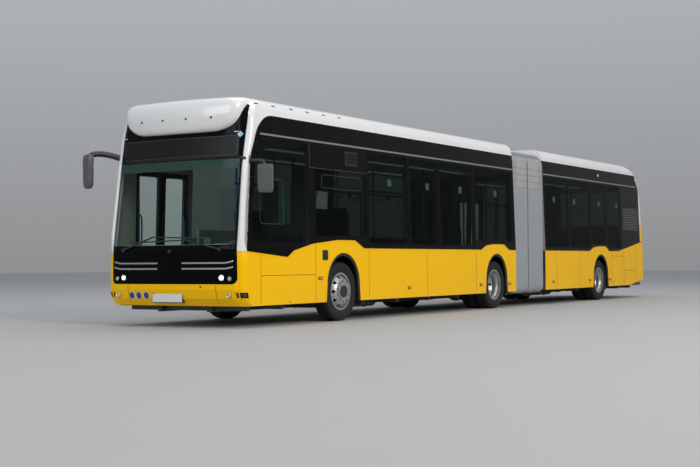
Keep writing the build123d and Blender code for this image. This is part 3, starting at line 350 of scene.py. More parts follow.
def grid_solid(top, base):
    """A closed mesh between two grids of points, given as equal lists of rows."""
    bm = bmesh.new()
    a = [[bm.verts.new(p) for p in row] for row in top]
    b = [[bm.verts.new(p) for p in row] for row in base]
    n, m = len(a), len(a[0])
    for i in range(n - 1):
        for k in range(m - 1):
            bm.faces.new((a[i][k], a[i][k + 1], a[i + 1][k + 1], a[i + 1][k]))
            bm.faces.new((b[i][k], b[i + 1][k], b[i + 1][k + 1], b[i][k + 1]))
    edge = [(0, k) for k in range(m)] + [(i, m - 1) for i in range(1, n)]
    edge += [(n - 1, k) for k in range(m - 2, -1, -1)] + [(i, 0) for i in range(n - 2, 0, -1)]
    for (i, k), (j, h) in zip(edge, edge[1:] + edge[:1]):
        bm.faces.new((a[i][k], b[i][k], b[j][h], a[j][h]))
    return mesh_from(bm)


def puffed(bm, centre, size, power=5.0, turn=None, taper=0.0, cuts=10):
    """A soft-cornered block: a cube's grid drawn onto a superellipsoid, narrower at the bottom by taper."""
    block = bmesh.new()
    bmesh.ops.create_cube(block, size=2)
    bmesh.ops.subdivide_edges(block, edges=block.edges[:], cuts=cuts, use_grid_fill=True)
    turn = turn or Matrix.Identity(3)
    for vert in block.verts:
        p = vert.co
        q = p / (abs(p.x) ** power + abs(p.y) ** power + abs(p.z) ** power) ** (1 / power)
        narrow = 1 - taper * (1 - q.z) / 2
        q = Vector((q.x * size[0] / 2, q.y * size[1] / 2 * narrow, q.z * size[2] / 2))
        vert.co = Vector(centre) + turn @ q
    mesh = bpy.data.meshes.new("block")
    block.to_mesh(mesh)
    block.free()
    bm.from_mesh(mesh)
    bpy.data.meshes.remove(mesh)


def rectangle(u0, u1, v0, v1, r=0.0, n=4):
    """A rectangle's outline with round corners."""
    return rounded_outline([(u0, v0, r), (u0, v1, r), (u1, v1, r), (u1, v0, r)], n)


def frame_pair(u0, u1, v0, v1, width, outer_r, inner_r, n=4):
    """The outer and inner outlines of a frame of one width, from its outer edges."""
    inner = rectangle(u0 + width, u1 - width, v0 + width, v1 - width, inner_r, n)
    return rectangle(u0, u1, v0, v1, outer_r, n), inner


def circle(u, v, r, n=24):
    """A circle's outline."""
    return [Vector((u + cos(2 * pi * k / n) * r, v + sin(2 * pi * k / n) * r)) for k in range(n)]


def add_box(bm, low, high):
    """A box between two corners in the row frame."""
    low, high = Vector(low), Vector(high)
    size = high - low
    stretch = Matrix.Diagonal((abs(size.x), abs(size.y), abs(size.z), 1))
    bmesh.ops.create_cube(bm, size=1, matrix=Matrix.Translation((low + high) / 2) @ stretch)


def box_piece(name, boxes, material, body="front_car", **more):
    """A piece made of boxes, each given as s from, s to, y from, y to, z from, z to."""
    bm = bmesh.new()
    for s0, s1, y0, y1, z0, z1 in boxes:
        add_box(bm, (X_ZERO - s1, y0, z0), (X_ZERO - s0, y1, z1))
    return finish(name, mesh_from(bm), material, body, **more)


def add_lathe(bm, profile, centre, axis, count=48, closed=False):
    """A profile of (along, radius) points turned about an axis through centre."""
    axis = Vector(axis).normalized()
    side = axis.orthogonal().normalized()
    third = axis.cross(side)
    rings = []
    for along, radius in profile:
        middle = Vector(centre) + axis * along
        angles = [2 * pi * k / count for k in range(count)]
        rings.append([bm.verts.new(middle + (side * cos(a) + third * sin(a)) * radius) for a in angles])
    pairs = list(zip(rings, rings[1:]))
    if closed:
        pairs.append((rings[-1], rings[0]))
    for ring, following in pairs:
        bridge(bm, ring, following)
    if not closed:
        bm.faces.new(rings[0])
        bm.faces.new(list(reversed(rings[-1])))


def lathe_piece(name, profile, places, axis, count, material, **more):
    """A piece made of one turned profile at each place."""
    bm = bmesh.new()
    for place in places:
        add_lathe(bm, profile, place, axis, count)
    return finish(name, mesh_from(bm), material, **more)


def add_tube(bm, points, radius, count=10, smooth=0):
    """A round tube along points, whose corners are cut smooth times."""
    path = [Vector(p) for p in points]
    for _ in range(smooth):
        finer = [path[0]]
        for a, b in zip(path, path[1:]):
            finer += [a * 0.75 + b * 0.25, a * 0.25 + b * 0.75]
        finer.append(path[-1])
        path = finer
    rings = []
    normal = None
    for i, point in enumerate(path):
        ahead = (path[min(i + 1, len(path) - 1)] - path[max(i - 1, 0)]).normalized()
        normal = ahead.orthogonal() if normal is None else normal - ahead * normal.dot(ahead)
        normal = normal.normalized()
        other = ahead.cross(normal)
        angles = [2 * pi * k / count for k in range(count)]
        rings.append([bm.verts.new(point + (normal * cos(a) + other * sin(a)) * radius) for a in angles])
    for ring, following in zip(rings, rings[1:]):
        bridge(bm, ring, following)
    bm.faces.new(list(reversed(rings[0])))
    bm.faces.new(rings[-1])


# Materials

MATERIALS = {}


def add_node(nodes, kind, values=None, **settings):
    """A shader node with its settings and the values of its sockets."""
    node = nodes.new(kind)
    for key, value in settings.items():
        setattr(node, key, value)
    for socket, value in (values or {}).items():
        node.inputs[socket].default_value = value
    return node


def new_group(name, inputs, outputs):
    """An empty shader group with float inputs and outputs given as (name, kind)."""
    group = bpy.data.node_groups.new(name, "ShaderNodeTree")
    for socket in inputs:
        group.interface.new_socket(socket, in_out="INPUT", socket_type="NodeSocketFloat")
    for socket, kind in outputs:
        group.interface.new_socket(socket, in_out="OUTPUT", socket_type=kind)
    return group


def group_dust():
    """Shader group: a mask of road dust that is thick near the ground and fades upward, broken by noise."""
    group = new_group("road_dust", ["Top"], [("Mask", "NodeSocketFloat")])
    nodes, links = group.nodes, group.links
    enter = nodes.new("NodeGroupInput")
    leave = nodes.new("NodeGroupOutput")
    where = nodes.new("ShaderNodeNewGeometry")
    split = nodes.new("ShaderNodeSeparateXYZ")
    fade = add_node(nodes, "ShaderNodeMapRange", {"To Min": 1.0, "To Max": 0.0, "From Min": 0.15})
    noise = add_node(nodes, "ShaderNodeTexNoise", {"Scale": 5.0, "Detail": 6.0})
    times = add_node(nodes, "ShaderNodeMath", operation="MULTIPLY")
    links.new(where.outputs["Position"], split.inputs[0])
    links.new(where.outputs["Position"], noise.inputs["Vector"])
    links.new(split.outputs["Z"], fade.inputs["Value"])
    links.new(enter.outputs["Top"], fade.inputs["From Max"])
    links.new(fade.outputs[0], times.inputs[0])
    links.new(noise.outputs["Fac"], times.inputs[1])
    links.new(times.outputs[0], leave.inputs["Mask"])
    return group


def group_grain():
    """Shader group: a fine bumpy normal from noise at a given scale, strength and distance."""
    group = new_group("fine_grain", ["Scale", "Strength", "Distance"], [("Normal", "NodeSocketVector")])
    nodes, links = group.nodes, group.links
    enter = nodes.new("NodeGroupInput")
    leave = nodes.new("NodeGroupOutput")
    where = nodes.new("ShaderNodeTexCoord")
    noise = add_node(nodes, "ShaderNodeTexNoise", {"Detail": 3.0})
    bump = nodes.new("ShaderNodeBump")
    links.new(where.outputs["Object"], noise.inputs["Vector"])
    links.new(enter.outputs["Scale"], noise.inputs["Scale"])
    links.new(enter.outputs["Strength"], bump.inputs["Strength"])
    links.new(enter.outputs["Distance"], bump.inputs["Distance"])
    links.new(noise.outputs["Fac"], bump.inputs["Height"])
    links.new(bump.outputs["Normal"], leave.inputs["Normal"])
    return group


GROUPS = {}


def shared_group(nodes, name, maker, values):
    """The named group placed among a material's nodes; it is built the first time only."""
    if name not in GROUPS:
        GROUPS[name] = maker()
    return add_node(nodes, "ShaderNodeGroup", values, node_tree=GROUPS[name])


def new_material(name):
    """An empty material with its nodes, links and Principled shader."""
    mat = bpy.data.materials.new(name)
    mat.use_nodes = True
    MATERIALS[name] = mat
    return mat.node_tree.nodes, mat.node_tree.links, mat.node_tree.nodes["Principled BSDF"]


DUST_COLOUR = (0.30, 0.28, 0.25, 1)


def surface(name, colour, rough, metal=0.0, coat=0.0, grain=None, dust=0.0, dust_top=1.1, vary=0.05, **more):
    """A Principled material with a little colour variation, optional road dust and fine grain."""
    nodes, links, shader = new_material(name)
    values = {
        "Base Color": (*colour, 1), "Metallic": metal, "Roughness": rough, "Coat Weight": coat,
        "Coat Roughness": 0.03,
    }
    values.update({key.replace("_", " "): value for key, value in more.items()})
    for socket, value in values.items():
        shader.inputs[socket].default_value = value
    last = None
    if vary:
        where = nodes.new("ShaderNodeTexCoord")
        noise = add_node(nodes, "ShaderNodeTexNoise", {"Scale": 2.3, "Detail": 5.0})
        links.new(where.outputs["Object"], noise.inputs["Vector"])
        darker = (*[c * (1 - vary) for c in colour], 1)
        lighter = (*[min(1.0, c * (1 + vary)) for c in colour], 1)
        shades = add_node(nodes, "ShaderNodeMix", {"A": darker, "B": lighter}, data_type="RGBA")
        links.new(noise.outputs["Fac"], shades.inputs["Factor"])
        last = shades.outputs["Result"]
        spread = add_node(
            nodes, "ShaderNodeMapRange", {"To Min": max(0.0, rough * 0.8), "To Max": min(1.0, rough * 1.25)}
        )
        links.new(noise.outputs["Fac"], spread.inputs["Value"])
        links.new(spread.outputs[0], shader.inputs["Roughness"])
    if dust:
        mask = shared_group(nodes, "dust", group_dust, {"Top": dust_top})
        times = add_node(nodes, "ShaderNodeMath", {1: dust}, operation="MULTIPLY")
        links.new(mask.outputs["Mask"], times.inputs[0])
        mix = add_node(nodes, "ShaderNodeMix", {"A": (*colour, 1), "B": DUST_COLOUR}, data_type="RGBA")
        if last is not None:
            links.new(last, mix.inputs["A"])
        links.new(times.outputs[0], mix.inputs["Factor"])
        last = mix.outputs["Result"]
    if last is not None:
        links.new(last, shader.inputs["Base Color"])
    if grain:
        bumps = shared_group(nodes, "grain", group_grain, dict(zip(("Scale", "Strength", "Distance"), grain)))
        links.new(bumps.outputs["Normal"], shader.inputs["Normal"])


def glass_material(name, tint, clear, film=(0.006, 0.007, 0.007)):
    """Tinted glazing: partly see-through, partly a dark reflecting film, stronger at grazing angles."""
    nodes, links, shader = new_material(name)
    for socket, value in (("Base Color", (*film, 1)), ("Roughness", 0.015), ("IOR", 1.30)):
        shader.inputs[socket].default_value = value
    through = add_node(nodes, "ShaderNodeBsdfTransparent", {"Color": (*tint, 1)})
    weight = add_node(nodes, "ShaderNodeLayerWeight", {"Blend": 0.5})
    grazing = add_node(nodes, "ShaderNodeMath", {1: 5.0}, operation="POWER")
    amount = add_node(nodes, "ShaderNodeMapRange", {"To Min": 1.0 - clear, "To Max": 1.0})
    mix = nodes.new("ShaderNodeMixShader")
    links.new(weight.outputs["Facing"], grazing.inputs[0])
    links.new(grazing.outputs[0], amount.inputs["Value"])
    links.new(amount.outputs[0], mix.inputs["Fac"])
    links.new(through.outputs[0], mix.inputs[1])
    links.new(shader.outputs[0], mix.inputs[2])
    links.new(mix.outputs[0], nodes["Material Output"].inputs["Surface"])


class BusPaint(bpy.types.PropertyGroup):
    yellow: FloatVectorProperty(
        name="Yellow", description="Lower body colour", subtype="COLOR", size=3, default=(0.97, 0.54, 0.0)
    )
    white: FloatVectorProperty(
        name="White", description="Roof and hoop colour", subtype="COLOR", size=3, default=(0.80, 0.80, 0.79)
    )
    dust: FloatProperty(name="Road dust", description="Dust on the lower body", default=0.03, min=0, max=1)


class BusWheels(bpy.types.PropertyGroup):
    studs: IntProperty(name="Wheel nuts", description="Nuts round each wheel", default=10)
    bolt_circle: FloatProperty(
        name="Bolt circle", description="Diameter of the circle of nuts", default=0.335, unit="LENGTH"
    )
    grooves: IntProperty(name="Tread grooves", description="Grooves round each tyre", default=4)


class BusBellows(bpy.types.PropertyGroup):
    folds: IntProperty(name="Folds", description="Pleats in each half of the bellows", default=14)
    depth: FloatProperty(
        name="Fold depth", description="How far a pleat stands out", default=0.034, unit="LENGTH"
    )


class BusTrim(bpy.types.PropertyGroup):
    gasket: FloatProperty(
        name="Gasket", description="Width of a window's rubber", default=0.014, unit="LENGTH"
    )


class BusStage(bpy.types.PropertyGroup):
    lens: FloatProperty(name="Lens", description="Focal length on a 36 mm film", default=65.43, unit="NONE")
    camera: FloatVectorProperty(
        name="Camera", description="Camera place", subtype="XYZ", size=3, default=(23.6775, 12.059, 0.945)
    )


SLOT_MATERIALS = {
    "yellow_paint": "yellow_paint",
    "white_paint": "white_paint",
    "black_gloss": "black_gloss",
    "light_grey": "pack_grey",
    "glass": "side_glass",
    "clear_glass": "screen_glass",
    "dark_plastic": "dark_plastic",
    "lamp_glass": "lamp_dark",
    "lamp_red": "lamp_red",
    "tyre": "tyre_rubber",
    "wheel_silver": "wheel_silver",
    "steel_frame": "frame_black",
    "bellows_fabric": "bellows_cloth",
    "seat_blue": "seat_shell",
    "handrail": "handrail",
    "interior_grey": "cab_plastic",
}


def make_materials(paint):
    """Every finish of the bus, from paint to rubber and glass."""
    surface("yellow_paint", tuple(paint.yellow), 0.34, coat=0.05, dust=paint.dust, vary=0.02, IOR=1.2)
    surface("white_paint", tuple(paint.white), 0.25, coat=0.7, dust=0.03, vary=0.015)
    surface("black_gloss", (0.003, 0.003, 0.0035), 0.05, vary=0.1, IOR=1.16)
    surface("pack_grey", (0.42, 0.43, 0.44), 0.5, grain=(180, 0.15, 0.001))
    surface("dark_plastic", (0.018, 0.018, 0.020), 0.38, grain=(700, 0.2, 0.0004), vary=0.1)
    surface("lamp_clear", (0.55, 0.56, 0.58), 0.08, coat=1.0)
    surface("lamp_red", (0.35, 0.01, 0.01), 0.12, coat=1.0)
    surface("frame_line", (0.05, 0.052, 0.055), 0.4, vary=0.03)
    surface("disc_light", (0.25, 0.50, 0.72), 0.3, coat=0.5, vary=0.03)
    surface("lamp_amber", (0.75, 0.22, 0.01), 0.15, coat=1.0)
    surface("tyre_rubber", (0.018, 0.018, 0.019), 0.72, grain=(420, 0.4, 0.0008), dust=0.05,
            dust_top=1.0, vary=0.15, IOR=1.3)
    surface("wheel_silver", (0.46, 0.47, 0.48), 0.36, metal=0.75, grain=(320, 0.12, 0.0005),
            dust=0.25, vary=0.04)
    surface("frame_black", (0.014, 0.014, 0.015), 0.55, grain=(90, 0.25, 0.002), dust=0.5,
            dust_top=0.9, vary=0.15)
    surface("seat_shell", (0.05, 0.06, 0.08), 0.45, grain=(500, 0.15, 0.0005))
    surface("handrail", (0.03, 0.16, 0.42), 0.3, coat=0.5, vary=0.03)
    surface("cab_plastic", (0.16, 0.165, 0.175), 0.55, grain=(600, 0.25, 0.0006), vary=0.06)
    surface("chrome_strip", (0.62, 0.63, 0.65), 0.18, metal=1.0, vary=0.04)
    surface("rubber_seal", (0.004, 0.004, 0.004), 0.5, grain=(500, 0.2, 0.0004), vary=0.1, IOR=1.15)
    # Dark strips in joints and slots; on the side walls they are painted shade in the seams' grooves
    surface("joint_dark_and_groove_shade", (0.006, 0.006, 0.006), 0.8, vary=0.1)
    surface("plate_white", (0.72, 0.72, 0.70), 0.35, coat=0.4, vary=0.02)
    surface("disc_blue", (0.012, 0.045, 0.18), 0.3, coat=0.5, vary=0.03)
    surface("sticker_green", (0.008, 0.075, 0.03), 0.35, vary=0.03)
    surface("cabin_panel", (0.30, 0.305, 0.31), 0.5, grain=(500, 0.1, 0.0004), vary=0.03)
    surface("rail_grey", (0.20, 0.205, 0.21), 0.45, vary=0.03)
    surface("arch_rubber", (0.012, 0.012, 0.013), 0.5, grain=(500, 0.2, 0.0005), dust=0.12, vary=0.1)
    surface("blind_teal", (0.30, 0.50, 0.47), 0.6)
    surface("hub_dark", (0.03, 0.03, 0.032), 0.4, metal=0.5, dust=0.15)
    surface("bare_metal", (0.40, 0.41, 0.42), 0.4, metal=0.9, dust=0.1, vary=0.06)
    surface("cable_orange", (0.75, 0.20, 0.01), 0.5)
    surface("underbody_light", (0.10, 0.102, 0.105), 0.5, metal=0.3, dust=0.5, dust_top=0.6, vary=0.1)
    surface("lens_clear", (0.55, 0.56, 0.58), 0.1, coat=1.0, vary=0.03)
    surface("lamp_dark", (0.02, 0.02, 0.022), 0.06, coat=1.0)
    for name, colour, rough, glow, strength in (
        ("lamp_lit", (0.9, 0.9, 0.85), 0.1, (1.0, 0.93, 0.80, 1), 9.0),
        ("light_panel", (0.8, 0.8, 0.78), 0.4, (1.0, 0.97, 0.92, 1), 0.15),
    ):
        surface(name, colour, rough, vary=0, Emission_Color=glow, Emission_Strength=strength)
    surface("screen_dim", (0.01, 0.012, 0.016), 0.1, vary=0.1)
    surface("mirror_plastic", (0.075, 0.077, 0.082), 0.4, grain=(700, 0.2, 0.0004), vary=0.06)
    surface("seat_fabric", (0.03, 0.05, 0.13), 0.9, grain=(420, 0.5, 0.001), vary=0.2)
    surface("mirror_glass", (0.80, 0.82, 0.84), 0.02, metal=1.0, vary=0.01)
    surface("display_matrix", (0.007, 0.007, 0.008), 0.3, grain=(900, 0.3, 0.001), vary=0.1, IOR=1.27)
    surface("underbody", (0.02, 0.02, 0.021), 0.7, grain=(60, 0.4, 0.004), dust=0.6, dust_top=0.8,
            vary=0.2)
    surface("saloon_floor", (0.055, 0.057, 0.060), 0.55, grain=(400, 0.3, 0.0006), vary=0.12)
    surface("ceiling_panel", (0.55, 0.55, 0.54), 0.5, grain=(500, 0.1, 0.0004), vary=0.02)
    surface("bellows_cloth", (0.335, 0.35, 0.37), 0.8, grain=(260, 0.35, 0.0012), vary=0.08)
    surface("bellows_roof", (0.22, 0.222, 0.225), 0.8, grain=(260, 0.35, 0.0012), vary=0.08)
    surface("bellows_seam", (0.16, 0.162, 0.165), 0.8, vary=0.08)
    surface("bellows_light", (0.39, 0.39, 0.385), 0.7, grain=(260, 0.25, 0.001))
    # Painted shade: a darker grey for the faces in the pleats' valleys, where the folds lie in shade
    surface("bellows_valley_shade", (0.20, 0.205, 0.212), 0.85, grain=(260, 0.35, 0.0012), vary=0.08)
    surface("nut_steel", (0.33, 0.33, 0.34), 0.4, metal=0.8, dust=0.2, vary=0.08)
    glass_material("side_glass", (0.46, 0.51, 0.49), 0.88)
    glass_material("door_glass", (0.92, 0.96, 0.95), 0.95)
    glass_material("tint_band", (0.45, 0.60, 0.54), 0.55, film=(0.10, 0.16, 0.145))
    glass_material("screen_glass", (0.90, 0.95, 0.93), 0.95)


class BUS_OT_paint(bpy.types.Operator):
    """Make the materials and put one on each CAD node"""

    bl_idname = "bus.paint"
    bl_label = "Paint the CAD nodes"

    BEARING_CAP = {"front": 0.098, "middle": 0.165, "rear": 0.165}

    def execute(self, context):
        make_materials(context.scene.bus_paint)
        slots = {row["node"]: row["material_slot"] for row in frame["record"]["subparts"]}
        for node, piece in frame["nodes"].items():
            piece.data.materials.clear()
            piece.data.materials.append(MATERIALS[SLOT_MATERIALS[slots[node]]])
            piece.data.set_sharp_from_angle(angle=radians(28))
            for polygon in piece.data.polygons:
                polygon.use_smooth = True
        self.hidden_faces()
        self.bearing_caps()
        return {"FINISHED"}

    def hidden_faces(self):
        """Inside faces, the rain rail and the floor get their own finish."""
        skin = 0.010
        rules = (
            ("lower_walls", "underbody", lambda c, n, half: abs(c.y) < half - skin),
            ("window_walls", "cabin_panel", lambda c, n, half: abs(c.y) < half - skin and c.z < 2.95),
            ("window_walls", "rail_grey", lambda c, n, half: abs(c.y) > half + 0.002 and 2.83 < c.z < 2.88),
            ("roof", "ceiling_panel", lambda c, n, half: n.z < -0.5 and c.z < 3.2),
            ("underframe", "saloon_floor", lambda c, n, half: n.z > 0.9 and c.z > 0.33),
        )
        for car in ("front", "rear"):
            for part, material, chosen in rules:
                mesh = frame["nodes"][f"{car}_{part}"].data
                mesh.materials.append(MATERIALS[material])
                index = len(mesh.materials) - 1
                for polygon in mesh.polygons:
                    if chosen(polygon.center, polygon.normal, section_at(polygon.center.z)[2]):
                        polygon.material_index = index

    def bearing_caps(self):
        """The bearing cap in the middle of each wheel is dark."""
        for node, piece in frame["nodes"].items():
            if "_wheel_" not in node:
                continue
            mesh = piece.data
            xs = [v.co.x for v in mesh.vertices]
            zs = [v.co.z for v in mesh.vertices]
            middle = Vector(((min(xs) + max(xs)) / 2, 0, (min(zs) + max(zs)) / 2))
            mesh.materials.append(MATERIALS["hub_dark"])
            for polygon in mesh.polygons:
                away = Vector((polygon.center.x, 0, polygon.center.z)) - middle
                if away.length < self.BEARING_CAP[node.split("_")[0]]:
                    polygon.material_index = 1


class BUS_OT_side_trim(bpy.types.Operator):
    """Window rubbers, the belt's lip, dark joint lines of painted shade, stickers and marker lamps on both
    sides
    """

    bl_idname = "bus.side_trim"
    bl_label = "Side trim"

    # Each car: belt, upright seams below it, joints of the roof fairing, hatch edges (s from, s to, height)
    CARS = (
        ("front_car", FRONT_BELT, (0.498, 1.978, 3.630, 5.716, 7.765), (0.95, 3.40, 4.03),
         ((0.498, 1.978, 0.760),)),
        ("rear_car", REAR_BELT, (11.900, 13.330, 15.463, 16.382, 17.300), (13.30, 15.60),
         ((15.463, 16.382, 1.057), (16.382, 17.3, 0.7))),
    )
    JOINT_HALF = 0.0035
    POST_HALF = 0.003
    DOOR_MARGIN = 0.02

    # A wheel arch: radius, height of its centre, and its feet (distance from the axle, height)
    ARCH_RADIUS = 0.50
    ARCH_CENTRE = 0.60
    ARCH_FEET = ((0.536, 0.335), (0.518, 0.47), (0.50, 0.60))

    # The rounded front corner of the cove under the roof: s, height
    COVE_CORNER = (
        (0.548, 2.965), (0.600, 3.030), (0.673, 3.084), (0.745, 3.120), (0.830, 3.143), (0.930, 3.153),
        (0.700, 3.158), (0.620, 3.072),
    )

    # Each car: s of the stickers on the left, on the right, and of the marker lamps
    MARKS = (
        ("front_car", (4.400, 5.805, 7.150, 8.744), (4.40, 7.15, 8.744), (2.115, 5.03, 7.97, 9.33)),
        ("rear_car", (11.856, 13.067, 14.690, 15.958), (13.75, 14.69, 15.958), (11.70, 13.95, 15.34)),
    )

    def window_outline(self, row, grow):
        """A window's outline, grown on every side; its front edge leans back."""
        s0, s1, sill, _, lean = row
        corner = 0.06
        return rounded_outline(
            [
                (s0 - grow, sill - grow, corner), (s0 + lean - grow, WINDOW_TOP + grow, corner),
                (s1 + grow, WINDOW_TOP + grow, corner), (s1 + grow, sill - grow, corner),
            ],
            6,
        )

    def clear_of_doors(self, path):
        """The belt's edge in runs that stop at the right side's doorways."""
        gaps = [(a - self.DOOR_MARGIN, b + self.DOOR_MARGIN) for a, b in DOORS.values()]
        edges = [s for gap in gaps for s in gap if path[0].x < s < path[-1].x]
        points = list(path) + [Vector((s, between(path, s))) for s in edges]
        points.sort(key=lambda point: point.x)
        runs = [[points[0]]]
        for p, q in zip(points, points[1:]):
            middle = (p.x + q.x) / 2
            if any(a < middle < b for a, b in gaps):
                runs.append([q])
            else:
                runs[-1].append(q)
        return [run for run in runs if len(run) > 1]

    def execute(self, context):
        gasket = context.scene.bus_trim.gasket
        for car, belt, seams, posts, hatches in self.CARS:
            name = car.split("_")[0]
            rubbers, lips, lines = [], [], []
            path = rounded_outline(belt, 8)
            for side in (1, -1):
                rings = [
                    (self.window_outline(row, gasket), self.window_outline(row, -0.004))
                    for row in WINDOWS[car] if side in row[3]
                ]
                rubbers.append(side_relief(rings, side, -0.002, 0.0015))
                runs = [path] if side == 1 else self.clear_of_doors(path)
                quads = [quad for run in runs for quad in band(run, 0.016, -0.001)]
                lips.append(side_relief(quads, side, -0.002, 0.0045))
                below, edges = (seams, hatches) if side == 1 else ((), ())
                # Painted shade: dark strips where the side wall's grooves and joints lie in shade
                strips = self.groove_shade_strips(path, below, posts, edges)
                lines.append(side_relief(strips, side, -0.0055, 0.0010))
            finish(f"{name}_window_rubbers", joined(rubbers), "rubber_seal", car)
            finish(f"{name}_belt_lip", joined(lips), "yellow_paint", car, bevel=0.0018, slot="yellow_paint")
            finish(f"{name}_side_groove_shade", joined(lines), "joint_dark_and_groove_shade", car, smooth=False)
        self.left_details()
        self.hatch_locks()
        self.arch_lips()
        self.cove_and_tail_edges()
        self.stickers_and_markers()
        return {"FINISHED"}

    def groove_shade_strips(self, path, seams, posts, hatches):
        """Thin dark strips, painted shade, in the fairing's joints, the wall's seam grooves and along the
        hatches' upper edges.
        """
        half = self.JOINT_HALF
        strips = [rectangle(s - self.POST_HALF, s + self.POST_HALF, 2.87, 3.34) for s in posts]
        strips += [rectangle(s - half, s + half, 0.36, between(path, s) - 0.02) for s in seams]
        strips += [rectangle(a + 0.004, b - 0.004, z - half, z + half) for a, b, z in hatches]
        return strips

    def left_details(self):
        """The driver's window frame, the hopper's, the black panel with its vent, and the small flap."""
        driver = frame_pair(0.493, 1.117, 1.523, 2.197, 0.007, 0.055, 0.050, 5)
        hopper = frame_pair(2.210, 3.430, 2.130, 2.343, 0.007, 0.045, 0.040, 6)
        vent = frame_pair(2.930, 3.310, 2.530, 2.756, 0.020, 0.020, 0.012)
        bars = [rectangle(2.950, 3.290, z, z + 0.004) for z in steps(2.562, 2.726, 11)]
        bars += [rectangle(s, s + 0.003, 2.550, 2.736) for s in steps(2.98, 3.26, 8)]
        ribs = [rectangle(s, s + 0.010, 1.000, 1.130, 0.003) for s in (2.205, 2.285)]
        edges = [rectangle(1.868, 1.876, 2.430, 2.812), rectangle(1.868, 3.630, 2.428, 2.436)]
        # Piece, material, slot, bevel, and its plates: shapes, depth of the base, depth of the top
        for name, material, slot, bevel, plates in (
            ("window_frames_left", "frame_line", None, 0.001, (([driver, hopper], 0.0, 0.004),)),
            ("intake_panel", "black_gloss", "black_gloss", 0.002,
             (([rectangle(1.873, 3.630, 2.435, 2.812, 0.012)], 0.0, 0.007),)),
            ("intake_panel_edge", "frame_line", None, 0.001, ((edges, 0.0, 0.0085),)),
            ("intake_vent", "dark_plastic", "dark_plastic", 0.001,
             (([vent], 0.005, 0.014), (bars, 0.006, 0.010))),
            ("charge_flap", "dark_plastic", "dark_plastic", 0.0015,
             (([rectangle(2.175, 2.335, 0.985, 1.145, 0.02)], 0.0, 0.006), (ribs, 0.0, 0.012))),
        ):
            mesh = joined([side_relief(shapes, 1, low, high) for shapes, low, high in plates])
            finish(name, mesh, material, bevel=bevel, slot=slot)

    def hatch_locks(self):
        """Round locks on the hatches, given by s and height."""
        for name, sides, places in (
            ("front", (1,), ((1.256, 0.356),)),
            ("rear", (1, -1),
             ((15.56, 0.98), (16.28, 0.98), (15.56, 0.45), (16.28, 0.45), (16.48, 0.62), (17.2, 0.62))),
        ):
            locks = [side_relief([circle(s, z, 0.013, 16)], side, 0.0, 0.003)
                     for side in sides for s, z in places]
            finish(f"{name}_hatch_locks", joined(locks), "dark_plastic", f"{name}_car", bevel=0.0008)

    def arch_lips(self):
        """Black lips round the wheel arches."""
        radius, centre = self.ARCH_RADIUS, self.ARCH_CENTRE
        for axle, s in AXLES.items():
            angles = [pi * k / 20 for k in range(1, 20)]
            path = [Vector((s - off, z)) for off, z in self.ARCH_FEET]
            path += [Vector((s - radius * cos(a), centre + radius * sin(a))) for a in angles]
            path += [Vector((s + off, z)) for off, z in reversed(self.ARCH_FEET)]
            lips = [side_relief(band(path, 0.046, 0.001), side, -0.032, 0.001) for side in (1, -1)]
            car = "rear_car" if axle == "rear" else "front_car"
            finish(f"{axle}_arch_lips", joined(lips), "arch_rubber", car, bevel=0.003)

    def cove_and_tail_edges(self):
        """The cove's rounded front corners, the skins round the tail's corners and the roof edge's slots."""
        corner = [Vector(p) for p in self.COVE_CORNER]
        coves = [side_relief([corner], side, -0.004, 0.0025) for side in (1, -1)]
        finish("cove_corners", joined(coves), "white_paint", slot="white_paint")
        for name, low, high, material in (
            ("upper", 1.86, 3.06, "white_paint"), ("lower", 1.44, 1.86, "yellow_paint"),
        ):
            edge = joined([self.tail_corner(low, high, side) for side in (1, -1)])
            finish(f"tail_edge_{name}", edge, material, "rear_car", slot=material)
        slots = [side_relief([rectangle(s - 0.045, s + 0.045, 3.300, 3.318, 0.006)], side, -0.004, 0.002)
                 for side in (1, -1) for s in (0.57, 1.01, 1.49, 1.95, 2.43, 2.90)]
        finish("roof_edge_slots", joined(slots), "joint_dark_and_groove_shade", smooth=False)

    def tail_corner(self, low, high, side):
        """A thin skin round the tail's upright corner, from the side's band to the rear face."""
        band_end, sweep, sweep_from, sweep_height = 17.665, 0.22, 2.72, 0.34
        layers = []
        for proud in (0.003, -0.003):
            rows = []
            for z in steps(low, high, 14):
                _, back, half, radius = section_at(z)
                start = band_end - sweep * max(0.0, (z - sweep_from) / sweep_height) ** 2
                corner = TAIL_FACE - back - end_depth(half * 0.9999, half, radius, TAIL_BOW)
                row = [on_side(start + (corner - start) * k / 3, z, side, proud) for k in range(3)]
                for k in range(9):
                    turn = radians(88 - 55 * k / 8)
                    across = half - radius + (radius + proud) * sin(turn)
                    face = on_tail(side * (half - radius + radius * sin(turn)), z, proud)
                    row.append(Vector((face.x, side * across, z)))
                rows.append(row)
            layers.append(rows)
        return grid_solid(*layers)

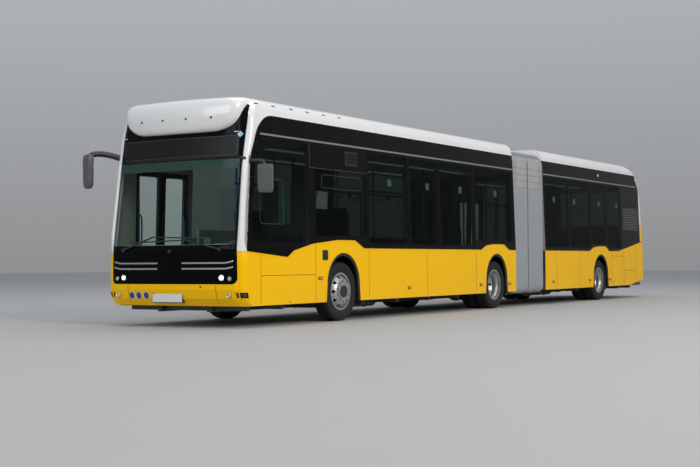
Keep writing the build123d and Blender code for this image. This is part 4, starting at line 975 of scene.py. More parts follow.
    def stickers_and_markers(self):
        """Square green stickers on the glass, amber marker lamps on the wall, and the small side camera."""
        for car, left, right, lamps in self.MARKS:
            name = car.split("_")[0]
            plates, bases, lenses = [], [], []
            for side, places in ((1, left), (-1, right)):
                for s in places:
                    sticker = rectangle(s - 0.065, s + 0.065, 2.255, 2.375, 0.006)
                    plates.append(side_relief([sticker], side, 0.0, 0.0012))
                for s in lamps:
                    z = 0.70 if s < 3 else 0.49
                    base = rectangle(s - 0.062, s + 0.062, z - 0.024, z + 0.024, 0.010)
                    lens = rectangle(s - 0.050, s + 0.050, z - 0.015, z + 0.015, 0.008)
                    bases.append(side_relief([base], side, 0.0, 0.009))
                    lenses.append(side_relief([lens], side, 0.006, 0.018))
            finish(f"{name}_exit_stickers", joined(plates), "sticker_green", car, smooth=False)
            finish(f"{name}_marker_bases", joined(bases), "dark_plastic", car, bevel=0.002)
            finish(f"{name}_marker_lenses", joined(lenses), "lamp_amber", car, bevel=0.003)
        knob = [(-0.004, 0.030), (0.010, 0.030), (0.016, 0.024), (0.016, 0.012), (0.020, 0.010)]
        place = on_side(14.733, 3.011)
        lathe_piece("rear_side_camera", knob, [place], (0, 1, 0), 24, "plate_white", body="rear_car")


class BUS_OT_front_trim(bpy.types.Operator):
    """Seams, display, tint band, silver strips, blank plate and discs on the front"""

    bl_idname = "bus.front_trim"
    bl_label = "Front trim"

    # The silver strips: heights, half height, straight part (y from, y to) and how far the outer end rises
    STRIP_HEIGHTS = (0.950, 0.867)
    STRIP_HALF = 0.012
    STRIP_REACH = (0.23, 0.98)
    STRIP_RISE = 0.026

    DISC_PLACES = (-0.765, -0.62, -0.469)
    DISC_Z = 0.47

    # The blank plate's holder and board: y from, y to, height from, height to
    HOLDER = (-0.345, 0.235, 0.364, 0.508)
    BOARD = (-0.335, 0.225, 0.374, 0.498)

    def execute(self, context):
        self.strips_and_joints()
        self.display()
        self.plate_and_discs()
        self.cameras()
        self.screen_rubber()
        return {"FINISHED"}

    def strips_and_joints(self):
        """Two silver strips on each side of the nose, and the joints of the bumper and the display."""
        strips = bmesh.new()
        (start, end), rise = self.STRIP_REACH, self.STRIP_RISE
        for z in self.STRIP_HEIGHTS:
            for side in (1, -1):
                bend = ((start, z), (end, z), (end + 0.07, z + rise * 0.35), (end + 0.14, z + rise))
                quads = band([Vector(p) for p in bend], self.STRIP_HALF, self.STRIP_HALF)
                mirrored = [[Vector((side * p[0], p[1])) for p in quad] for quad in quads]
                strips.from_mesh(end_relief(mirrored, 0.0, 0.008))
        finish("nose_strips", mesh_from(strips), "chrome_strip", bevel=0.003)
        lines = [rectangle(-1.13, 1.13, 2.484, 2.512), rectangle(0.827, 0.833, 0.36, 0.62),
                 rectangle(-0.833, -0.827, 0.36, 0.62)]
        finish("nose_joints", end_relief(lines, -0.012, 0.001), "joint_dark_and_groove_shade", smooth=False)

    def display(self):
        """The dark route display with its edge, and the tint band on the glass below it."""
        matrix = end_relief([rectangle(-1.06, 1.06, 2.535, 2.800, 0.012)], 0.0, 0.003)
        finish("route_display", matrix, "display_matrix", bevel=0.001)
        edge = end_relief([frame_pair(-1.075, 1.075, 2.520, 2.815, 0.013, 0.020, 0.012)], 0.0, 0.005)
        finish("route_display_edge", edge, "dark_plastic", bevel=0.001)
        tint = end_relief([rectangle(-1.13, 1.13, 2.33, 2.478, 0.02)], -0.007, -0.0055)
        finish("windscreen_tint", tint, "tint_band")

    def plate_and_discs(self):
        """The blank number plate, three blank discs on the bumper and a small diamond on the hoop."""
        face = on_nose(0.12, 0.436).x
        for name, material, back, front, bevel, (y0, y1, z0, z1) in (
            ("blank_plate_holder", "dark_plastic", -0.050, 0.012, 0.004, self.HOLDER),
            ("blank_plate", "plate_white", 0.010, 0.016, 0.002, self.BOARD),
        ):
            board = bmesh.new()
            add_box(board, (face + back, y0, z0), (face + front, y1, z1))
            finish(name, mesh_from(board), material, bevel=bevel)
        for name, material, radius, proud in (
            ("blank_disc_rims", "plate_white", 0.060, 0.0015), ("blank_discs", "disc_blue", 0.052, 0.0022),
        ):
            discs = [end_relief([circle(y, self.DISC_Z, radius, 32)], 0.0, proud) for y in self.DISC_PLACES]
            finish(name, joined(discs), material, smooth=False)
        tips = ((0, 0.05), (0.045, 0), (0, -0.05), (-0.045, 0))
        diamond = [Vector((1.095 + across, 2.830 + up)) for across, up in tips]
        finish("blank_diamond", end_relief([diamond], 0.0, 0.002), "disc_light", smooth=False)

    def cameras(self):
        """The camera on the nose, the dome's small markers and the display's clips."""
        eye = [(-0.004, 0.029), (0.008, 0.029), (0.010, 0.026), (0.008, 0.020), (0.014, 0.012),
               (0.017, 0.0015)]
        lathe_piece("nose_camera", eye, [on_nose(0.0, 1.127)], (1, 0, 0), 24, "dark_plastic")
        dot = [(-0.004, 0.017), (0.004, 0.017), (0.009, 0.012), (0.011, 0.001)]
        places = [on_dome(y, 3.09) for y in (-0.658, -0.22, 0.22, 0.658)]
        lathe_piece("dome_markers", dot, places, (1, 0, 0), 16, "dark_plastic")
        clips = [rectangle(y - 0.035, y + 0.035, 2.864, 2.876, 0.004) for y in (-1.085, 1.03)]
        finish("display_clips", end_relief(clips, 0.0, 0.005), "plate_white", bevel=0.001)

    def screen_rubber(self):
        """The narrow rubber between the glass and the white hoop."""
        right = [(-1.158, 1.20, 0.02), (-1.146, 1.80, 0), (-1.142, 2.486, 0.03)]
        outer = rounded_outline(right + [(-y, z, r) for y, z, r in reversed(right)], 5)
        middle = 1.845
        inner = [Vector((p.x * 0.988, middle + (p.y - middle) * 0.982)) for p in outer]
        ring = end_relief([(outer, inner)], -0.003, 0.0025)
        finish("windscreen_rubber", ring, "rubber_seal")


class BUS_OT_wheels(bpy.types.Operator):
    """Treaded tyres in place of the plain CAD ones, and nuts and a valve on each wheel"""

    bl_idname = "bus.wheels"
    bl_label = "Tyres and nuts"

    # A tyre's side wall from the tread to the bead: along the axle, radius, notched by the shoulder blocks
    WALL = (
        (0.120, 0.4665, True), (0.129, 0.452, True), (0.1335, 0.438, False), (0.1362, 0.420, False),
        (0.1375, 0.400, False), (0.1392, 0.398, False), (0.1392, 0.392, False), (0.1375, 0.390, False),
        (0.1365, 0.365, False), (0.1320, 0.335, False), (0.1300, 0.331, False), (0.1270, 0.318, False),
        (0.1190, 0.306, False), (0.1130, 0.297, False), (0.1100, 0.288, False),
    )
    SHOULDER = ((0.088, 0.4765, True), (0.104, 0.4745, True))
    NOTCH_DEPTH = 0.007
    GROOVED_WIDTH = 0.150

    # From the outer tyre's middle to the wheel's face, and how far hub cap and valve's foot stand out of it
    FACE = {"front": 0.158, "middle": -0.158, "rear": -0.158}
    CAP_PROUD = {"front": 0.016, "middle": 0.060, "rear": 0.060}
    VALVE_PROUD = {"front": -0.012, "middle": 0.020, "rear": 0.020}
    CAP_BOLTS = 6
    CAP_BOLT_RADIUS = 0.085
    VALVE_RADIUS = 0.252

    def execute(self, context):
        wheels = context.scene.bus_wheels
        for axle, s in AXLES.items():
            for side_name, side in SIDES:
                centre = Vector((X_ZERO - s, 0, AXLE_Z))
                body = f"{axle}_{side_name}_wheel"
                places = [OUTER_TYRE_Y] if axle == "front" else [OUTER_TYRE_Y, OUTER_TYRE_Y - TWIN_SPACING]
                tyres = bmesh.new()
                for y in places:
                    self.add_tyre(tyres, centre + Vector((0, side * y, 0)), wheels.grooves)
                tread = finish(
                    f"{axle}_{side_name}_tread", mesh_from(tyres), "tyre_rubber", body, slot="tyre", angle=25
                )
                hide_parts(f"{axle}_tyre_{side_name}")
                out = Vector((0, side, 0))
                face = centre + out * (OUTER_TYRE_Y + self.FACE[axle])
                self.nuts(f"{axle}_{side_name}", body, face, out, wheels)
                self.hub_cap(f"{axle}_{side_name}", body, face, out, self.CAP_PROUD[axle])
                self.valve(f"{axle}_{side_name}", body, face + out * self.VALVE_PROUD[axle], out)
        return {"FINISHED"}

    def tread(self, grooves):
        """Points (along, radius, notched) across the tread."""
        points = [(-along, radius, notched) for along, radius, notched in reversed(self.SHOULDER)]
        pitch = self.GROOVED_WIDTH / grooves
        for k in range(grooves):
            middle = (k - (grooves - 1) / 2) * pitch
            for off, radius in ((-0.0052, 0.4778), (-0.0036, 0.4665), (0.0036, 0.4665), (0.0052, 0.4778)):
                points.append((middle + off, radius, False))
        return points + list(self.SHOULDER)

    def add_tyre(self, bm, centre, grooves, count=108):
        """A tyre turned about its axle, with a notch at every third step of its shoulders."""
        inner = [(-along, radius, notched) for along, radius, notched in reversed(self.WALL)]
        rings = []
        for along, radius, notched in inner + self.tread(grooves) + list(self.WALL):
            ring = []
            for k in range(count):
                a = 2 * pi * k / count
                r = radius - (self.NOTCH_DEPTH if notched and k % 3 == 0 else 0.0)
                ring.append(bm.verts.new(centre + Vector((cos(a) * r, along, sin(a) * r))))
            rings.append(ring)
        for ring, following in zip(rings, rings[1:] + rings[:1]):
            bridge(bm, ring, following)

    def around(self, centre, radius, angle):
        """A point on a circle round the axle."""
        return centre + Vector((cos(angle) * radius, 0, sin(angle) * radius))

    def nuts(self, name, body, face, out, wheels):
        """A washer, a six-sided nut and a stud's end at each place of the bolt circle."""
        bm = bmesh.new()
        for k in range(wheels.studs):
            centre = self.around(face, wheels.bolt_circle / 2, 2 * pi * (k + 0.5) / wheels.studs)
            add_lathe(bm, [(-0.004, 0.0205), (0.003, 0.0205), (0.004, 0.019)], centre, out, 20)
            add_lathe(bm, [(0.003, 0.0165), (0.016, 0.0165), (0.019, 0.0145)], centre, out, 6)
            add_lathe(bm, [(0.012, 0.0090), (0.024, 0.0090), (0.0255, 0.0075)], centre, out, 12)
        finish(f"{name}_nuts", mesh_from(bm), "nut_steel", body, bevel=0.0008, slot="steel_frame")

    def hub_cap(self, name, body, face, out, proud):
        """The stepped cap over the bearing, with its small bolts."""
        bm = bmesh.new()
        profile = [
            (-0.004, 0.074), (0.003, 0.074), (0.0045, 0.071), (0.0045, 0.052), (0.001, 0.048), (0.001, 0.022),
            (0.004, 0.019), (0.004, 0.002),
        ]
        add_lathe(bm, [(proud + along, radius) for along, radius in profile], face, out, 40)
        for k in range(self.CAP_BOLTS):
            centre = self.around(face + out * proud, self.CAP_BOLT_RADIUS, 2 * pi * k / self.CAP_BOLTS)
            add_lathe(bm, [(-0.003, 0.0065), (0.004, 0.0065), (0.005, 0.005)], centre, out, 6)
        finish(f"{name}_hub_cap", mesh_from(bm), "hub_dark", body, bevel=0.0008, slot="wheel_silver")

    def valve(self, name, body, face, out):
        """The valve's bent stem, which points forward."""
        bm = bmesh.new()
        foot = face + Vector((self.VALVE_RADIUS, 0, 0))
        bend = foot + out * 0.018 + Vector((0.004, 0, 0))
        tip = foot + out * 0.042 + Vector((0.010, 0, 0))
        add_tube(bm, [foot, bend, tip], 0.004, 8)
        finish(f"{name}_valve", mesh_from(bm), "rubber_seal", body)


class BUS_OT_bellows(bpy.types.Operator):
    """The pleated bellows, one cloth from the front car to the rear car, and its frames"""

    bl_idname = "bus.bellows"
    bl_label = "Bellows"

    # The cloth's section: half width, heights of floor and roof, of the seams and of further rows of points
    HALF = 1.192
    TOP = 3.245
    LOW = 0.300
    LINES = (2.497, 2.647, 2.776, 2.915)
    LEVELS = (0.9, 1.4, 1.9, 2.2)
    SEAM_HALF = 0.004
    HOOP_HALF = 0.024
    FOLD_STEPS = 6
    CLOTHS_AND_SHADE = ("bellows_cloth", "bellows_roof", "bellows_seam", "bellows_light", "bellows_valley_shade")

    # The pale panels beside the middle hoop: s from, s to
    PALE = ((9.90, 10.33), (10.49, 11.0))

    def outline(self):
        """The cloth's section, with points beside each seam."""
        h, low, top = self.HALF, self.LOW, self.TOP
        ring = rounded_outline([(-h, low, 0.12), (-h, top, 0.24), (h, top, 0.24), (h, low, 0.12)], 8)
        beside = {z + d for z in self.LINES for d in (-self.SEAM_HALF, self.SEAM_HALF)}
        marks = sorted(beside | set(self.LEVELS))
        full = []
        for a, b in zip(ring, ring[1:] + ring[:1]):
            full.append(a)
            if abs(a.x - b.x) < 1e-6:
                inside = [z for z in marks if min(a.y, b.y) < z < max(a.y, b.y)]
                full += [Vector((a.x, z)) for z in (inside if b.y > a.y else reversed(inside))]
            elif abs(a.y - b.y) < 1e-6 and abs(a.x - b.x) > 0.5:
                full += [a.lerp(b, k / 8) for k in range(1, 8)]
        return full

    def pushed(self, outline, by):
        """The outline moved outward by a distance."""
        made = []
        for k, point in enumerate(outline):
            ahead = (outline[(k + 1) % len(outline)] - outline[k - 1]).normalized()
            made.append(point + Vector((-ahead.y, ahead.x)) * by)
        return made

    def rows(self, folds, depth):
        """(s, how far out) along the cloth: a rounded pleat for each fold, flat over the middle hoop."""
        rows = []
        halves = ((FRONT_CAR_END, PIVOT_S - self.HOOP_HALF), (PIVOT_S + self.HOOP_HALF, REAR_CAR_START))
        for start, end in halves:
            count = folds * self.FOLD_STEPS
            for k in range(count + 1):
                within = k % self.FOLD_STEPS
                wave = 0.5 - 0.5 * cos(2 * pi * within / self.FOLD_STEPS)
                rows.append((start + (end - start) * k / count, depth * wave ** 0.7 if within else 0.0))
        return rows

    def material_index_of(self, x, z, s, in_valley):
        """Which material a face gets: roof cloth, seam, pale panel, painted shade in a pleat's valley, or the
        plain cloth.
        """
        if z > 3.12:
            return 1
        if abs(x) > 1.1 and any(abs(z - line) < 0.003 for line in self.LINES):
            return 2
        if 2.501 < z < 3.07 and any(a < s < b for a, b in self.PALE):
            return 3
        # The faces in a pleat's valley get painted shade, a darker grey than the cloth
        return 4 if in_valley else 0

    def execute(self, context):
        bellows = context.scene.bus_bellows
        outline = self.outline()
        rows = self.rows(bellows.folds, bellows.depth)
        bm = bmesh.new()
        rings = []
        for s, out in rows:
            rings.append([bm.verts.new((X_ZERO - s, p.x, p.y)) for p in self.pushed(outline, out)])
        n = len(outline)
        for i, (ring, following) in enumerate(zip(rings, rings[1:])):
            s = (rows[i][0] + rows[i + 1][0]) / 2
            in_valley = min(rows[i][1], rows[i + 1][1]) == 0.0
            for k in range(n):
                m = (k + 1) % n
                face = bm.faces.new((ring[k], ring[m], following[m], following[k]))
                z = (outline[k].y + outline[m].y) / 2
                face.material_index = self.material_index_of(outline[k].x, z, s, in_valley)
        mesh = mesh_from(bm)
        piece = bpy.data.objects.new("bellows_cloth", mesh)
        context.scene.collection.objects.link(piece)
        for name in self.CLOTHS_AND_SHADE:
            mesh.materials.append(MATERIALS[name])
        mesh.set_sharp_from_angle(angle=radians(70))
        for polygon in mesh.polygons:
            polygon.use_smooth = True
        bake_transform(piece)
        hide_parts("front_bellows", "rear_bellows")
        self.frames(outline)
        return {"FINISHED"}

    def frames(self, outline):
        """Metal frames that clamp the cloth at both cars, and the band over the middle hoop."""
        for name, body, s, width, low, high in (
            ("front_clamp_frame", "front_car", FRONT_CAR_END - 0.006, 0.028, -0.012, 0.020),
            ("middle_band", "joint_frame", PIVOT_S, 0.034, 0.0015, 0.012),
            ("rear_clamp_frame", "rear_car", REAR_CAR_START + 0.006, 0.028, -0.012, 0.020),
        ):
            bm = bmesh.new()
            loops = []
            for ds, out in ((-width / 2, low), (-width / 2, high), (width / 2, high), (width / 2, low)):
                loops.append([bm.verts.new((X_ZERO - s - ds, p.x, p.y)) for p in self.pushed(outline, out)])
            for ring, following in zip(loops, loops[1:] + loops[:1]):
                bridge(bm, ring, following)
            finish(f"bellows_{name}", mesh_from(bm), "frame_black", body, bevel=0.002, slot="steel_frame")


class BUS_OT_doors(bpy.types.Operator):
    """Glass, rubbers and handles on the six door leaves"""

    bl_idname = "bus.doors"
    bl_label = "Doors"

    # Clearance of a leaf at its post and half of the gap between two leaves
    POST_GAP = 0.008
    MIDDLE_GAP = 0.012
    # The pane's rubber: how far inside the leaf, height from, height to, width
    PANE_INSET = 0.060
    PANE_Z = (0.500, 2.353)
    PANE_RUBBER = 0.020
    # The grab rail: distance from the leaf's edge, depth inside the wall, heights of feet and bends
    RAIL_INSET = 0.11
    RAIL_DEPTH = 0.085
    RAIL_FEET = (1.02, 1.72)
    RAIL_BENDS = (1.06, 1.68)

    def execute(self, context):
        for door, (s0, s1) in DOORS.items():
            middle = (s0 + s1) / 2
            self.leaf(door, "front", s0 + self.POST_GAP, middle - self.MIDDLE_GAP)
            self.leaf(door, "rear", middle + self.MIDDLE_GAP, s1 - self.POST_GAP)
            edge = (rectangle(s0 - 0.022, s1 + 0.022, 0.372, 2.434, 0.02),
                    rectangle(s0 - 0.003, s1 + 0.003, 0.384, 2.415, 0.012))
            car = "rear_car" if door == "door_3" else "front_car"
            rubber = side_relief([edge], -1, -0.002, 0.0012)
            finish(f"{door}_frame_rubber", rubber, "rubber_seal", car)
        return {"FINISHED"}

    def leaf(self, door, leaf, a, b):
        """The pane, its rubber, the rubber where the leaves meet and the grab rail."""
        body = f"{door}_{leaf}_leaf"
        inset, (low, high) = self.PANE_INSET, self.PANE_Z
        pane = rectangle(a + inset + 0.002, b - inset - 0.002, low + 0.003, high - 0.003, 0.05, 5)
        finish(f"{door}_{leaf}_glass", side_relief([pane], -1, -0.010, -0.0046), "door_glass", body)
        ring = frame_pair(a + inset, b - inset, low, high, self.PANE_RUBBER, 0.05, 0.04, 5)
        rubber = side_relief([ring], -1, -0.0055, -0.003)
        finish(f"{door}_{leaf}_pane_rubber", rubber, "rubber_seal", body)
        meet = (b - 0.004, b + 0.008) if leaf == "front" else (a - 0.008, a + 0.004)
        edge = side_relief([rectangle(*meet, 0.392, 2.406, 0.004)], -1, -0.042, -0.004)
        finish(f"{door}_{leaf}_edge_rubber", edge, "rubber_seal", body, bevel=0.003)
        s = a + self.RAIL_INSET if leaf == "front" else b - self.RAIL_INSET
        feet = [on_side(s, z, -1, 0.045 - self.RAIL_DEPTH) for z in self.RAIL_FEET]
        bends = [on_side(s, z, -1, -self.RAIL_DEPTH) for z in self.RAIL_BENDS]
        bm = bmesh.new()
        add_tube(bm, [feet[0], *bends, feet[1]], 0.014, 12, 2)
        finish(f"{door}_{leaf}_grip", mesh_from(bm), "handrail", body, slot="handrail")


class BUS_OT_hoop_and_lamps(bpy.types.Operator):
    """The hoop's crisp edge beside the glass, the lamps' rings and lenses, and the mirrors"""

    bl_idname = "bus.hoop_and_lamps"
    bl_label = "Hoop, lamps and mirrors"

    # How far the hoop's and the bumper's corners stand out over the body's round section: height, distance
    HOOP_RISE = [(1.118, 0.010), (1.34, 0.036), (2.95, 0.038), (3.12, 0.024), (3.30, 0.004)]
    BUMPER_RISE = [(0.345, 0.010), (0.43, 0.028), (1.00, 0.028), (1.112, 0.008)]
    BUMPER_TURNS = (0.595, 1.565)

    # Round lamps on the nose: y, height, radius, lit
    LAMPS = ((0.925, 0.735, 0.046, True), (1.062, 0.722, 0.034, False))
    SPOT = (1.045, 0.474)

    # The marker round the bumper's corner: part, material, proudness, turns from and to, heights from and to
    MARKER = (
        ("rim", "yellow_paint", 0.0040, 0.66, 1.28, 0.432, 0.528),
        ("base", "black_gloss", 0.0060, 0.69, 1.24, 0.440, 0.520),
        ("lens", "lamp_dark", 0.0085, 0.80, 1.12, 0.458, 0.502),
    )

    # Each mirror: middle (s, y, z), size, turn in degrees, squareness, taper, arm's radius and its route
    MIRRORS = (
        ((-0.176, -1.480, 2.365), (0.110, 0.235, 0.530), -24, 5.0, 0.22, 0.046,
         ((0.335, -1.19, 2.560), (0.15, -1.33, 2.635), (-0.05, -1.43, 2.650), (-0.165, -1.468, 2.600),
          (-0.174, -1.478, 2.480))),
        ((0.375, 1.448, 2.175), (0.100, 0.240, 0.420), 38, 9.0, 0.05, 0.027,
         ((0.290, 1.195, 2.440), (0.330, 1.33, 2.440), (0.365, 1.433, 2.415), (0.374, 1.446, 2.320))),
    )

    def corner_skin(self, side, rows, proud):
        """A skin on the nose's round corner from rows of (height, turns), proud of it by proud(z, turn)."""
        top = [[on_corner(z, turn, side, proud(z, turn)) for turn in turns] for z, turns in rows]
        base = [[on_corner(z, turn, side, -0.004) for turn in turns] for z, turns in rows]
        return grid_solid(top, base)

    def glass_turn(self, z):
        """Where the hoop begins beside the glass, as a turn round the corner."""
        _, _, half, radius = section_at(z)
        start = min(1.0, max(0.0, (between(HOOP_INNER, z) - (half - radius)) / radius))
        return atan2(start, sqrt(max(1e-9, 1 - start * start)))

    def hoop_edge(self):
        """A skin over the round pillar that gives the hoop its squarer corner, and the joint across it."""
        share = [k / 10 for k in range(11)]
        for name, side in SIDES:
            top, base = [], []
            for z in [self.HOOP_RISE[0][0]] + steps(1.20, 3.28, 26):
                back, _, _, radius = section_at(z)
                start = self.glass_turn(z)
                behind = (between(HOOP_REAR, z) - (NOSE_FACE + back + NOSE_BOW)) / radius
                along = max(0.0, 1 - behind)
                end = atan2(sqrt(max(0.0, 1 - along * along)), along) if behind > 0 else start + 0.1
                end = max(end - 0.01, start + 0.05)
                rise = between(self.HOOP_RISE, z)
                turns = [start + (end - start) * u for u in share]
                top.append([on_corner(z, turn, side, 0.004 + rise * sin(pi * u) ** 0.8)
                            for turn, u in zip(turns, share)])
                base.append([on_corner(z, turn, side, -0.004) for turn in turns])
            finish(f"hoop_edge_{name}", grid_solid(top, base), "white_paint", slot="white_paint", angle=50)
            line = []
            for z in (2.497, 2.504):
                start = self.glass_turn(z)
                line.append([on_corner(z, start + 0.9 * u, side, 0.0052 + 0.038 * sin(pi * u * 0.85) ** 0.8)
                             for u in share])
            low = [[p - Vector((0.006, side * 0.006, 0)) for p in row] for row in line]
            finish(f"hoop_joint_{name}", grid_solid(line, low), "joint_dark_and_groove_shade", smooth=False)

    def dome(self):
        """The white dome over the display, as rows of one outline that swells and closes."""
        bm = bmesh.new()
        rows = []
        for z, _, half, _ in DOME_SECTIONS:
            ys = [half * sin(radians(-90 + 180 * k / 32)) * 0.9999 for k in range(33)]
            ends = [Vector((X_ZERO - DOME_END, side * half, z)) for side in (-1, 1)]
            points = [ends[0]] + [on_dome(y, z) for y in ys] + [ends[1]]
            rows.append([bm.verts.new(p) for p in points])
        for row, following in zip(rows, rows[1:]):
            bridge(bm, row, following)
        bm.faces.new(rows[0])
        bm.faces.new(list(reversed(rows[-1])))
        piece = finish("front_dome", mesh_from(bm), "white_paint", slot="white_paint", angle=50)
        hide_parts("roof_dome")

    def corner_rise(self, z, turn):
        """How far the bumper's corner stands out over the round section."""
        return between(self.BUMPER_RISE, z) * max(0.0, sin(pi * (turn - self.BUMPER_TURNS[0]) / 0.97)) ** 0.9

    def corner_skins(self):
        """The bumper's corners, squarer than the body's round section."""
        rows = [(z, steps(*self.BUMPER_TURNS, 14)) for z in steps(0.345, 1.110, 14)]
        for name, side in SIDES:
            skin = self.corner_skin(side, rows, lambda z, turn: 0.0015 + self.corner_rise(z, turn))
            finish(f"bumper_corner_{name}", skin, "yellow_paint", slot="yellow_paint", angle=50)

    def lamps(self):
        """Rings and lenses of the round lamps and the low spot lamps."""
        rings, lenses, glow = bmesh.new(), bmesh.new(), bmesh.new()
        for side in (1, -1):
            for y, z, r, lit in self.LAMPS:
                centre = on_nose(side * y, z, 0.001)
                tilt = on_nose(side * y + 0.01, z) - on_nose(side * y - 0.01, z)
                out = Vector((tilt.y, -tilt.x, 0)).normalized()
                ring = [(-0.006, r - 0.001), (0.0035, r - 0.001), (0.0045, r - 0.003), (0.0035, r - 0.0055),
                        (-0.0005, r - 0.008), (-0.006, r - 0.008)]
                lens = [(-0.002, r * 0.56), (0.003, r * 0.55), (0.007, r * 0.42), (0.009, r * 0.2),
                        (0.0095, 0.001)]
                add_lathe(rings, ring, centre, out, 36, closed=True)
                add_lathe(glow if lit else lenses, lens, centre, out, 32)
                if not lit:
                    inner = [(-0.004, r * 0.62), (0.002, r * 0.62), (0.003, r * 0.58), (0.002, r * 0.54)]
                    add_lathe(rings, inner, centre, out, 32, closed=True)
            spot = Vector((X_ZERO - (NOSE_FACE + 0.062), side * self.SPOT[0], self.SPOT[1]))
            bezel = [(-0.060, 0.0345), (0.006, 0.0345), (0.007, 0.032), (0.004, 0.029), (-0.030, 0.021),
                     (-0.060, 0.021)]
            lens = [(-0.030, 0.026), (-0.008, 0.026), (-0.003, 0.017), (-0.001, 0.001)]
            add_lathe(rings, bezel, spot, (1, 0, 0), 36, closed=True)
            add_lathe(lenses, lens, spot, (1, 0, 0), 28)
        for name, bm, material in (
            ("lamp_rings", rings, "chrome_strip"), ("lamp_lenses", lenses, "lamp_clear"),
            ("lamp_lit_lenses", glow, "lamp_lit"),
        ):
            finish(name, mesh_from(bm), material, slot="lamp_glass")

    def corner_markers(self):
        """The marker lamp that wraps each corner of the bumper: rim, black base and dark lens."""
        for name, side in SIDES:
            for part, material, proud, start, end, z0, z1 in self.MARKER:
                rows = [(z, steps(start, end, 10)) for z in steps(z0, z1, 3)]
                marker = self.corner_skin(side, rows, lambda z, turn: proud + self.corner_rise(z, turn))
                finish(f"corner_marker_{part}_{name}", marker, material, bevel=0.003)

    def mirrors(self):
        """Both outside mirrors on horn-like arms, each with a large and a small glass."""
        shells, arms, glasses, feet = bmesh.new(), bmesh.new(), bmesh.new(), bmesh.new()
        for (s, y, z), size, degrees, power, taper, thick, route in self.MIRRORS:
            centre = Vector((X_ZERO - s, y, z))
            turn = Matrix.Rotation(radians(degrees), 3, "Z")
            puffed(shells, centre, size, power, turn, taper)
            facing, across = turn @ Vector((-1, 0, 0)), turn @ Vector((0, 1, 0))
            for low, high in ((-0.43, 0.16), (0.20, 0.43)):
                outline = rectangle(-0.41 * size[1], 0.41 * size[1], low * size[2], high * size[2], 0.03, 4)
                plate = []
                for depth in (0.47, 0.505):
                    face = centre + facing * size[0] * depth
                    row = []
                    for p in outline:
                        narrow = 1 - taper * (0.5 - p.y / size[2])
                        row.append(glasses.verts.new(face + across * p.x * narrow + Vector((0, 0, p.y))))
                    plate.append(row)
                bridge(glasses, *plate)
                glasses.faces.new(plate[1])
                glasses.faces.new(list(reversed(plate[0])))
            points = [Vector((X_ZERO - a, b, c)) for a, b, c in route]
            add_tube(arms, points, thick, 16, 3)
            foot = points[0] + Vector((0, 0.02 if y < 0 else -0.02, -0.01))
            puffed(feet, foot, (0.16, 0.10, 0.17), 4.0, None, 0.1, 6)
        shell = finish("mirror_shells", mesh_from(shells), "mirror_plastic", slot="dark_plastic")
        arm = finish("mirror_arms", mesh_from(arms), "dark_plastic", slot="dark_plastic")
        finish("mirror_feet", mesh_from(feet), "dark_plastic", slot="dark_plastic")
        finish("mirror_glasses", mesh_from(glasses), "mirror_glass", smooth=False)
        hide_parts("mirrors")
        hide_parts("mirrors")

    def execute(self, context):
        self.dome()
        self.hoop_edge()
        self.corner_skins()
        self.lamps()
        self.corner_markers()
        self.mirrors()
        return {"FINISHED"}


